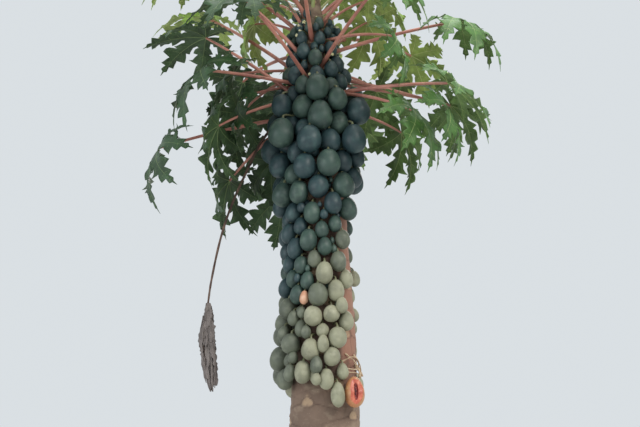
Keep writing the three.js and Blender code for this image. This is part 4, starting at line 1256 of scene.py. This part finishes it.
# Leaves whose places show: turn and height of the foot, then length and slopes of the stalk
SHOWN_LEAVES = table(
    "turn z stalk blade rise sag pitch droop",
    (3.72, 3.480, 0.70, 0.43, -8, -20, -30, -50),
    (3.50, 3.400, 0.78, 0.43, -22, -16, -28, -48),
    (-0.55, 3.480, 0.62, 0.43, -8, -20, -30, -50),
    (3.10, 3.500, 0.86, 0.44, -6, -20, -34, -52),
    (2.75, 3.620, 0.55, 0.42, -8, -22, -34, -56),
    (3.45, 3.400, 0.52, 0.42, -10, -20, -30, -52),
    (2.90, 3.380, 0.60, 0.42, -22, -18, -26, -50),
    (2.45, 3.440, 0.50, 0.42, -12, -22, -38, -54),
    (3.05, 3.560, 0.42, 0.40, 6, -26, -44, -56),
    (0.35, 3.460, 0.46, 0.42, -6, -20, -40, -54),
    (0.15, 3.600, 0.80, 0.44, 0, -20, -36, -52),
    (-0.35, 3.430, 0.60, 0.42, -14, -18, -30, -50),
    (0.80, 3.400, 0.60, 0.42, -16, -20, -36, -54),
    (0.35, 3.800, 0.34, 0.40, 62, -24, -75, -50),
    (2.75, 3.900, 0.40, 0.38, 46, -30, -66, -56),
)
WISH_SPREAD = {
    "turn": 0.34, "z": 0.09, "stalk": 0.12, "rise": 14, "pitch": 10, "droop": 8, "swing": 0.7, "roll": 0.4,
}
WISH_WEIGHTS = (1, 1.6)
# The fruit show from the front, so no further leaf hangs before them
OPEN_FRONT = {"half": 0.27, "below": 4.25}
STALK_CLEARANCE = 0.008
YOUNG_ABOVE = 4.1


def wished_leaves(draw):
    """Where more leaves are wanted, before they look for room."""
    wishes = list(SHOWN_LEAVES)
    inner = INNER_LEAVES
    for i in range(inner["count"]):
        age = (i + 0.5) / inner["count"]
        wish = between(LEAF_AGES, age, "age")
        wish["stalk"] *= inner["stalk_share"] + 0.2 * draw(-0.5, 0.5)
        wish["blade"] *= inner["blade_share"]
        wish["rise"] = max(wish["rise"] + inner["steeper"], 0)
        wish["z"] = inner["from"] + (inner["to"] - inner["from"]) * age
        wish["turn"] = leaf_turn(i + 0.5)
        wishes.append(wish)
    return wishes


def room_beside(leaf, others, fruits):
    """The least room between a leaf and the others, as points, and between its stalk and fruit."""
    stalk, ribs = room_points(leaf)
    in_front = (ribs[:, 1] < 0) & (np.abs(from_axis(ribs)[:, 0]) < OPEN_FRONT["half"])
    if (in_front & (ribs[:, 2] < OPEN_FRONT["below"])).any():
        return -math.inf
    at, width, length = fruits
    line = smooth_curve(stalk_points(leaf), 30)[2:]
    room = math.inf
    for points, least in ((line, STALK_CLEARANCE), (ribs, 0.0)):
        apart = points[:, None] - at
        apart[..., 2] /= length / width
        gap = (np.linalg.norm(apart, axis=-1) - width / 2).min() - least
        room = min(room, gap * 4 + 0.02 if gap > 0 else gap)
    return room if room < 0 else min(room, room_between((stalk, ribs), others, *WISH_WEIGHTS))


def more_leaves(leaves, fruits):
    """Further leaves where they have room between the others and the fruit."""
    draw = np.random.default_rng(INNER_LEAVES["seed"]).uniform
    balls = [column(fruits, field) for field in ("at", "width", "length")]
    others = [np.vstack(points) for points in zip(*(room_points(leaf) for leaf in leaves))]
    found = []
    for wish in wished_leaves(draw):
        wish = dict(wish, swing=0.0, roll=0.0)
        aim = stalk_points(wish)[-1]
        best = -math.inf
        kept = None
        for attempt in range(INNER_LEAVES["tries"]):
            give = 0.3 + 1.2 * attempt / INNER_LEAVES["tries"]
            spreads = {field: spread * give for field, spread in WISH_SPREAD.items()}
            tried = varied(wish, spreads, lambda: draw(-1, 1))
            room = room_beside(tried, others, balls)
            if room < INNER_LEAVES["least"]:
                continue
            missed = np.linalg.norm(stalk_points(tried)[-1] - aim)
            worth = min(room, INNER_LEAVES["clearance"]) - INNER_LEAVES["pull"] * missed
            if worth > best:
                best, kept = worth, tried
        if kept:
            kept.update(age=0.9 if kept["z"] > YOUNG_ABOVE else 0.4, points=stalk_points(kept))
            found.append(kept)
            others = [np.vstack(pair) for pair in zip(others, room_points(kept))]
    return found


def leaf_tint(leaf, draw):
    """Leaves high in the crown are bright, partly as young leaves are and partly as painted light shining
    through them; those to the left are deep, as painted shade.
    """
    place = leaf["points"][-1]
    if place[2] + draw(-0.06, 0.06) > YOUNG_AND_BACKLIT_ABOVE:
        return "bright"
    return "deep" if place[0] + draw(-0.1, 0.1) < SHADED_LEFT_OF else "green"


def leaf_finishes():
    """For each tint, a blade's upper side, its under side, and its veins."""
    return {
        tint["name"]: (leaf_finish(tint, "top", 0.5), leaf_finish(tint, "under", 0.62), vein_finish(tint))
        for tint in LEAF_TINTS
    }


def finished_blades(name, blades, finishes):
    return walled(mesh_object(name, *joined(blades), finishes[:2]), BLADE_THICKNESS, inner_material=1)


def leaf_pieces(leaves, further, finishes):
    """Blades and their veins, joined by tint, and the nodes that they stand for."""
    draw = np.random.default_rng(LEAF_DRAW_SEED).uniform
    kinds = {}
    for i, leaf in enumerate(leaves + further):
        tint = leaf_tint(leaf, draw)
        lobes = lobes_of(draw)
        node = [f"leaf_{i + 1:02d}"] if i < LEAF_COUNT else []
        kinds.setdefault(tint, []).append((blade_mesh(leaf, lobes), vein_lines(leaf, lobes), node))
    pieces = []
    for tint, rows in kinds.items():
        for start in range(0, len(rows), LEAVES_A_PIECE):
            blades, veins, nodes = zip(*rows[start:start + LEAVES_A_PIECE])
            name = f"{tint}_{start // LEAVES_A_PIECE + 1}"
            nodes = sum(nodes, [])
            pieces.append((finished_blades("leaf_blades_" + name, blades, finishes[tint]), nodes))
            pieces.append((rods("leaf_veins_" + name, sum(veins, []), 4, finishes[tint][2]), nodes))
    return pieces


# Leaf stalks
STALK_RADII = ((0, 0.03, 0.12, 0.55, 1), (0.0185, 0.0168, 0.0128, 0.0106, 0.0076))
GREEN_FROM_AGE = 0.72
STALK_COLOURS = {
    "red": ((190, 128, 112), (152, 92, 84), (212, 160, 136)),
    "green": ((150, 160, 104), (166, 126, 100), (186, 190, 140)),
}


def leaf_stalks(leaves):
    kinds = {"red": [], "green": []}
    for leaf in leaves:
        size = 0.55 + 0.45 * leaf["stalk"] / LEAF_AGES[0]["stalk"]
        line = (smooth_curve(leaf["points"], 24), along_line(25, *STALK_RADII) * min(size, 1.05))
        kinds["green" if leaf["age"] > GREEN_FROM_AGE else "red"].append(line)
    finishes = {kind: stalk_finish("leaf_stalk_" + kind, *STALK_COLOURS[kind]) for kind in kinds}
    return [rods("leaf_stalks_" + kind, lines, 12, finishes[kind]) for kind, lines in kinds.items()]


# The crown's tip: a bud in a cup of folded leaves
TIP_LEAVES = {"count": 5, "stalk": 0.165, "step": -0.022, "blade": 0.105, "below": 0.05, "rise": 74}
TIP_SCALES = {"count": 9, "length": 0.085, "width": 0.017, "below": 0.014}
TIP_SEED = 61


def tip_leaves():
    leaves = []
    for i in range(TIP_LEAVES["count"]):
        leaf = {"turn": leaf_turn(LEAF_COUNT + 1 + i), "z": TRUNK_HEIGHT - TIP_LEAVES["below"] + 0.012 * i}
        leaf["stalk"] = TIP_LEAVES["stalk"] + TIP_LEAVES["step"] * i
        leaf["blade"] = TIP_LEAVES["blade"] * (1 - 0.1 * i)
        leaf.update(rise=TIP_LEAVES["rise"] + 3 * i, sag=8, pitch=-50, droop=62, swing=0.1, roll=0.1)
        leaves.append(leaf)
    return leaves


def tip_scale_lines():
    """Pointed young stalks that close over the growing point."""
    share = np.linspace(0, 1, 9)
    girth = TIP_SCALES["width"] * np.interp(share, [0, 0.2, 0.7, 1], [0.9, 1, 0.6, 0.12])
    middle = trunk_axis(TRUNK_HEIGHT) * (1, 1, 0)
    lines = []
    for i in range(TIP_SCALES["count"]):
        lean = 0.9 - 0.8 * i / TIP_SCALES["count"]
        out = lean * (0.034 + 0.014 * np.sin(2.2 * share)) * (1 - 0.55 * share**2)
        z = TRUNK_HEIGHT - TIP_SCALES["below"] + TIP_SCALES["length"] * (1.3 - 0.45 * lean) * share
        lines.append((middle + polar(out, i * GOLDEN_ANGLE + 0.5 * share, z), girth))
    return lines


def crown_tip_pieces(finishes):
    draw = np.random.default_rng(TIP_SEED).uniform
    blades = []
    veins = []
    stalks = []
    for leaf in tip_leaves():
        lobes = lobes_of(draw)
        blades.append(blade_mesh(leaf, lobes))
        veins.extend(vein_lines(leaf, lobes))
        stalks.append((smooth_curve(stalk_points(leaf), 12), np.linspace(0.0085, 0.0038, 13)))
    young = stalk_finish("tip_stalk", (158, 170, 98), (170, 138, 96), (190, 196, 138))
    return [
        finished_blades("tip_blades", blades, finishes),
        rods("tip_veins", veins, 4, finishes[2]),
        rods("tip_stalks", stalks + tip_scale_lines(), 9, young),
    ]


# The withered leaf: a dry roll of shrunken lobes on its limp stalk
WITHERED_BLADE = [(-0.708, 0.170, 2.215), (-0.700, 0.158, 1.945), (-0.664, 0.170, 1.672)]
WITHERED_RADIUS = 0.051
WITHERED_FLAT = 0.62
WITHERED_SEED = 83
WITHERED_RIBS = 7
SHRED = {"count": 104, "rows": 22, "columns": 5, "width": 0.027, "curl": 1.9, "thickness": 0.0012}


def in_roll(share, reach, turn, count):
    """Points in the dry roll: a share of the way down, and a share of its width out at a turn."""
    middle = smooth_curve(WITHERED_BLADE, count)
    along = np.linspace(0, 1, count + 1)
    middle = np.stack([np.interp(share, along, middle[:, k]) for k in range(3)], -1)
    width = WITHERED_RADIUS * (0.2 + 0.8 * np.sin(math.pi * (0.02 + 0.94 * share)) ** 0.7)
    return middle + polar(width * reach, turn) * (1, WITHERED_FLAT, 1)


def shred(draw, from_share, to_share, turn, depth):
    """One curled dry strip that runs down the roll, ragged at its edges."""
    rows, columns = SHRED["rows"], SHRED["columns"]
    share = np.linspace(from_share, to_share, rows)
    wander = turn + draw(-1.6, 1.6) * (share - from_share) + 0.25 * np.sin(9 * share + draw(0, 6))
    centre = in_roll(share, depth + 0.10 * np.sin(13 * share + draw(0, 6)), wander, 40)
    ends = np.sin(math.pi * np.linspace(0.06, 0.97, rows)) ** 0.5
    ragged = 1 + 0.55 * draw(-1, 1, rows)
    width = SHRED["width"] * draw(0.6, 1.3) * ends * ragged
    curl = SHRED["curl"] * draw(0.3, 1)
    facing = (wander + draw(-0.9, 0.9) + 1.2 * (share - from_share))[:, None]
    bend = np.linspace(-0.5, 0.5, columns) * curl
    reach = width[:, None] / curl
    aside = polar(reach * np.sin(bend), facing + math.pi / 2)
    ahead = polar(reach * (np.cos(bend) - 1), facing)
    return (centre[:, None] + aside + ahead).reshape(-1, 3), grid_faces(rows, columns)


def withered_pieces():
    draw = np.random.default_rng(WITHERED_SEED).uniform
    parts = []
    for i in range(SHRED["count"]):
        start = draw(0, 0.5) if i % 3 else 0.0
        end = min(0.93, start + draw(0.2, 0.5))
        if i % 5 == 0:
            end = draw(0.86, 1.0)
        depth = draw(0.2, 0.94)
        parts.append(shred(draw, start, end, i * GOLDEN_ANGLE, depth))
    dry = dry_finish("dry_blade", (119, 111, 108), (98, 91, 88), (138, 129, 123))
    shreds = walled(mesh_object("withered_shreds", *joined(parts), [dry]), SHRED["thickness"])
    lines = []
    for i in range(WITHERED_RIBS):
        share = np.linspace(0, 0.9 - 0.06 * i, 19)
        line = in_roll(share, np.minimum(1, share * 5) * 0.62, i * GOLDEN_ANGLE + 1.1 * share, 18)
        lines.append((line, np.linspace(0.0034, 0.0010, 19)))
    girth = along_line(41, [0, 0.05, 0.3, 1], [0.016, 0.012, 0.0085, 0.0062])
    lines.append((smooth_curve(WITHERED_STALK, 40), girth * (1 + 0.08 * np.sin(np.arange(41) * 1.9))))
    stalk = dry_finish("dry_stalk", (96, 76, 66), (62, 48, 44), (132, 108, 92))
    return [shreds, rods("withered_stalk", lines, 9, stalk)]


# The opened ripe fruit
OPENING = {"half_width": 0.72, "half_height": 0.92, "depth": 0.030, "turn": -26, "tilt": -8, "fill": 1.02}
SLIT = {"half_width": 0.26, "half_height": 0.62}
OPENED_GRID = {"rings": 34, "sides": 96}
OPENED_SEEDS = {"count": 24, "seed": 17, "size": 0.0052, "reach": 0.8}
OPENED_FINISHES = {"skin": 0, "flesh": 1, "hollow": 2}


def from_slit(apart, round_it):
    """How far a point of the opening is from its middle, where the slit's edge counts as 1."""
    across, up = apart * np.cos(round_it), apart * np.sin(round_it)
    return np.hypot(across / SLIT["half_width"], up / SLIT["half_height"])


def opened_surface(fruit, apart, round_it, inside):
    """Points of the fruit by their angle from the opening's middle and their turn round it."""
    turned = Matrix.Rotation(fruit["turn"] + math.radians(OPENING["turn"]), 3, "Z")
    turned = turned @ Matrix.Rotation(math.radians(OPENING["tilt"]), 3, "Y")
    half = np.array([fruit["width"] / 2, fruit["width"] / 2, fruit["length"] / 2]) * OPENING["fill"]
    rim = np.hypot(OPENING["half_width"] * np.cos(round_it), OPENING["half_height"] * np.sin(round_it))
    rim = rim * (1 + 0.07 * np.sin(3 * round_it + 1) + 0.04 * np.sin(7 * round_it))
    angle = rim * apart if inside else rim + (math.pi - rim) * apart
    local = np.stack([
        np.cos(angle) * half[0],
        np.sin(angle) * np.cos(round_it) * half[1] * (1 - 0.15 * np.sin(angle) * np.sin(round_it)),
        np.sin(angle) * np.sin(round_it) * half[2],
    ], -1)
    if inside:
        hollow = 1 - smooth_step(0.6, 1.2, from_slit(apart, round_it))
        dig = OPENING["depth"] * (0.55 * (1 - apart**2.2) + 0.45 * hollow)
        dig = dig + 0.0012 * np.sin(23 * round_it + 9 * apart) * (1 - apart) * apart
        local[..., 0] -= dig * np.minimum(1, (1 - apart) * 12)
    return local @ np.array(turned).T + fruit["at"]


def opened_skin(fruit):
    """The fruit's skin, its flesh inside the opening, and the hollow of its seeds."""
    rings, sides = OPENED_GRID["rings"], OPENED_GRID["sides"]
    apart = np.arange(rings + 1)[:, None] / rings
    inner = opened_surface(fruit, apart, turns(sides), True)
    outer = opened_surface(fruit, apart[1:], turns(sides), False)
    corners = np.vstack([inner, outer]).reshape(-1, 3)
    faces = grid_faces(2 * rings + 1, sides, wrap=True)
    ring, side = np.divmod(faces[:, 0], sides)
    in_hollow = from_slit(ring / rings, turns(sides)[side]) < 1
    kind = np.where(in_hollow, OPENED_FINISHES["hollow"], OPENED_FINISHES["flesh"])
    kind[ring >= rings] = OPENED_FINISHES["skin"]
    corners, faces, whole = welded(corners, faces)
    flesh = flesh_finish("ripe_flesh", (194, 100, 76), (164, 70, 54), (212, 134, 104))
    heart = flesh_finish("seed_hollow", (136, 52, 46), (108, 36, 34), (162, 72, 60))
    finishes = [ripe_skin_finish(), flesh, heart]
    return mesh_object("opened_fruit_halves", corners, faces, finishes, face_material=kind[whole])


def opened_seeds(fruit):
    """The few seeds that still stick in the hollow."""
    draw = np.random.default_rng(OPENED_SEEDS["seed"]).uniform
    places = []
    for _ in range(OPENED_SEEDS["count"]):
        along = math.sqrt(draw()) * OPENED_SEEDS["reach"]
        angle = draw(0, 2 * math.pi)
        across = along * SLIT["half_width"] * math.cos(angle)
        up = along * SLIT["half_height"] * math.sin(angle)
        point = opened_surface(fruit, np.hypot([across], up), np.arctan2([up], across), True)[0]
        size = OPENED_SEEDS["size"] * draw(0.8, 1.15)
        places.append((point, (draw(0, 3), draw(0, 3), 0), (size, size, size * 1.3)))
    shape = lump_shape("seed_shape", 6, 8)
    seeds = copies("papaya_seeds", shape, places, seed_finish())
    bpy.data.objects.remove(shape)
    return seeds


# Dry fruit stalks that still hang on the bark beside the opened fruit
DRY_STRINGS = (
    ((-62, 1.835, 0.020), (-48, 1.862, 0.050), (-30, 1.842, 0.036), (-16, 1.790, 0.012)),
    ((-60, 1.800, 0.012), (-44, 1.790, 0.052), (-27, 1.806, 0.040), (-12, 1.846, 0.010)),
    ((-66, 1.770, 0.014), (-50, 1.772, 0.058), (-36, 1.764, 0.050), (-20, 1.742, 0.010)),
    ((-52, 1.882, 0.006), (-42, 1.840, 0.040), (-38, 1.784, 0.058), (-36, 1.742, 0.062)),
    ((-30, 1.880, 0.006), (-26, 1.838, 0.030), (-30, 1.786, 0.050), (-40, 1.748, 0.064)),
    ((-20, 1.866, 0.006), (-17, 1.820, 0.026), (-20, 1.772, 0.030), (-26, 1.730, 0.018)),
)
DRY_FLAP = {"turn": -22, "z": 1.800, "width": 0.050, "height": 0.090, "out": 0.034, "thickness": 0.0022}
FLAP_GRID = (18, 12)


def dry_string_pieces():
    lines = []
    girth = along_line(19, [0, 0.15, 0.8, 1], [0.0052, 0.0034, 0.0028, 0.0046])
    girth = girth * (1 + 0.12 * np.sin(np.arange(19) * 2.3))
    for string in DRY_STRINGS:
        points = [beside_trunk(math.radians(turn), z, out) for turn, z, out in string]
        lines.append((smooth_curve(points, 18), girth))
    finish = dry_finish("dry_string", (198, 176, 146), (150, 122, 98), (222, 206, 180))
    return [rods("dry_strings", lines, 8, finish), dry_flap(finish)]


def dry_flap(finish):
    """A dry flap of skin that stands off the bark below the strings."""
    rows, columns = FLAP_GRID
    down, across = np.meshgrid(np.linspace(0, 1, rows), np.linspace(-0.5, 0.5, columns), indexing="ij")
    wide = DRY_FLAP["width"] * np.sin(math.pi * (0.12 + 0.8 * down)) ** 0.6 * (1 + 0.15 * np.sin(17 * down))
    z = DRY_FLAP["z"] + DRY_FLAP["height"] * (0.5 - down)
    turn = math.radians(DRY_FLAP["turn"]) + across * wide / trunk_radius(z) + 0.08 * down
    out = -0.004 + DRY_FLAP["out"] * np.sin(1.5 * down)
    out += (0.010 * np.cos(math.pi * across) + 0.003 * np.sin(19 * across)) * down
    corners = beside_trunk(turn, z, out).reshape(-1, 3)
    flap = mesh_object("dry_flap", corners, grid_faces(rows, columns, turned=True), [finish])
    return walled(flap, DRY_FLAP["thickness"])


# Buds and blossom in the leaf axils
FLOWERS = {
    "seed": 41, "count": 96, "from": 3.30, "to": 4.36, "room": 0.022, "open_share": 0.3,
    "above": (-0.03, 0.07), "aside": (-0.55, 0.55), "out": (0.030, 0.085), "lift": (0.0, 0.05),
    "swing": (-0.2, 0.2), "open_size": (0.020, 0.028), "bud_size": (0.014, 0.026),
}
BLOSSOM = {"rings": 7, "sides": 20, "wall": 0.82, "lift": 0.03}


def blossom_shape(name):
    """A small trumpet of five petals, one unit long."""
    share = np.linspace(0, 1, BLOSSOM["rings"])[:, None]
    petal = 0.5 + 0.5 * np.cos(5 * turns(BLOSSOM["sides"]))
    out = 0.07 + 0.04 * share + 0.40 * share**3 * (0.35 + 0.65 * petal)
    up = share * 0.9 - 0.22 * share**6 * petal
    inner_out, inner_up = BLOSSOM["wall"] * out[::-1], up[::-1] + BLOSSOM["lift"]
    return ringed_shape(name, np.vstack([out, inner_out]), np.vstack([up, inner_up]))


def flower_pieces(leaves, posts):
    rng = np.random.default_rng(FLOWERS["seed"])
    draw = rng.uniform
    buds = []
    open_flowers = []
    stalks = []
    axils = [leaf for leaf in leaves if FLOWERS["from"] < leaf["z"] < FLOWERS["to"]]
    for _ in range(FLOWERS["count"]):
        leaf = axils[int(rng.integers(len(axils)))]
        z = leaf["z"] + draw(*FLOWERS["above"])
        turn = leaf["turn"] + draw(*FLOWERS["aside"])
        foot = beside_trunk(turn, z, -0.006)
        out = draw(*FLOWERS["out"])
        lift = draw(*FLOWERS["lift"])
        tip = beside_trunk(turn + draw(*FLOWERS["swing"]), z + lift, out)
        if np.linalg.norm(nearest_on_posts(tip, posts) - tip, axis=1).min() < FLOWERS["room"]:
            continue
        line = smooth_curve([foot, (foot + tip) / 2 + np.array([0, 0, 0.010]), tip], 6)
        stalks.append((line, np.linspace(0.0036, 0.0022, 7)))
        away = line[-1] - line[-2]
        away /= np.linalg.norm(away)
        facing = Vector(away).to_track_quat("Z", "Y").to_euler()
        if draw() < FLOWERS["open_share"]:
            size = draw(*FLOWERS["open_size"])
            open_flowers.append((tip, facing, (size, size, size)))
        else:
            size = draw(*FLOWERS["bud_size"])
            buds.append((tip + away * size * 0.4, facing, (size * 0.55, size * 0.55, size)))
    bud = lump_shape("bud_shape", 8, 10)
    blossom = blossom_shape("blossom_shape")
    green = stalk_finish("flower_stalk", (160, 168, 118), (134, 132, 92), (196, 198, 150))
    pieces = [
        copies("flower_buds", bud, buds, petal_finish()),
        copies("open_blossom", blossom, open_flowers, petal_finish()),
        rods("flower_stalks", stalks, 6, green),
    ]
    bpy.data.objects.remove(bud)
    bpy.data.objects.remove(blossom)
    return pieces


# The scene round the tree
CAMERA = {"lens": 50.6, "sensor": 36, "sees_to": 100, "place": (-0.012, -5.4, 1.5), "tilt": 103}
FLOOR_HALF = 30.0
ROOM_GLOW = 0.92
LIGHTS = table(
    "name place target width power colour",
    ("key", (3.4, -4.2, 6.4), (0, 0, 2.6), 3.0, 270, (1.0, 0.97, 0.92)),
    ("fill", (-4.6, -3.6, 3.2), (0, 0, 2.6), 3.4, 110, (0.93, 0.96, 1.0)),
    ("back", (1.5, 5.2, 5.6), (0, 0, 3.0), 3.2, 170, (1.0, 0.98, 0.94)),
    ("top", (0, 0, 8.6), (0, 0, 3.5), 4.0, 260, (1.0, 1.0, 1.0)),
)


def studio():
    """A pale floor, a pale room and soft lights on every side."""
    corners = [(x * FLOOR_HALF, y * FLOOR_HALF, 0) for x, y in ((-1, -1), (1, -1), (1, 1), (-1, 1))]
    pale = Finish("pale_floor", (206, 206, 203), 0.9)
    floor = mesh_object("floor", corners, [(0, 1, 2, 3)], [pale.material], smooth=False)
    world = bpy.data.worlds.new("pale_room")
    world.use_nodes = True
    glow = world.node_tree.nodes["Background"].inputs
    glow["Color"].default_value = srgb(226, 232, 236)
    glow["Strength"].default_value = ROOM_GLOW
    bpy.context.scene.world = world
    for light in LIGHTS:
        data = bpy.data.lights.new(light["name"], "AREA")
        data.size = light["width"]
        data.energy = light["power"]
        data.color = light["colour"]
        lamp = placed(light["name"], data)
        lamp.location = light["place"]
        aim = Vector(light["target"]) - Vector(light["place"])
        lamp.rotation_euler = aim.to_track_quat("-Z", "Y").to_euler()
    bpy.context.scene.view_settings.view_transform = "Standard"


def camera():
    data = bpy.data.cameras.new("camera")
    data.lens = CAMERA["lens"]
    data.sensor_width = CAMERA["sensor"]
    data.clip_end = CAMERA["sees_to"]
    view = placed("camera", data)
    view.location = CAMERA["place"]
    view.rotation_euler = (math.radians(CAMERA["tilt"]), 0, 0)
    bpy.context.scene.camera = view


def seated(piece, slot, *nodes):
    """Tells the frame what a piece rides on and what it stands for. The slot, what it is made of, is not
    used.
    """
    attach(piece, "root")
    if nodes:
        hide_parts(*nodes)


def build():
    leaves = leaf_plan()
    posts = stalk_posts(leaves)
    fruits = fruit_plan(leaves, posts)
    leaf_nodes = [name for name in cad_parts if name.startswith("leaf_")]
    bunches = [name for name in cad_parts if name.startswith("fruit_bunch")]
    seated(trunk_bark(), "bark", "trunk")
    further = more_leaves(leaves, fruits)
    finishes = leaf_finishes()
    for piece, nodes in leaf_pieces(leaves, further, finishes):
        seated(piece, "leaf", *nodes)
    for piece in leaf_stalks(leaves + further):
        seated(piece, "leaf", *leaf_nodes)
    for piece in crown_tip_pieces(finishes["bright"]):
        seated(piece, "leaf", "crown_tip")
    spare = spare_fruit(fruits, posts)
    for piece in fruit_pieces(fruits, spare):
        seated(piece, "fruit", *bunches)
    stalk = stalk_finish("fruit_stalk", (120, 124, 92), (92, 88, 66), (160, 158, 120))
    whole = [fruit for fruit in fruits + spare if not fruit.get("opened")]
    seated(rods("fruit_stalks", fruit_stalk_lines(whole), 8, stalk), "fruit")
    for piece in flower_pieces(leaves, posts):
        seated(piece, "fruit")
    for piece in withered_pieces():
        seated(piece, "dry_leaf", "withered_leaf")
    opened = next(fruit for fruit in fruits if fruit.get("opened"))
    for piece in (opened_skin(opened), opened_seeds(opened)):
        seated(piece, "ripe_fruit", "opened_fruit")
    for piece in dry_string_pieces():
        seated(piece, "dry_leaf")


camera()
studio()
build()
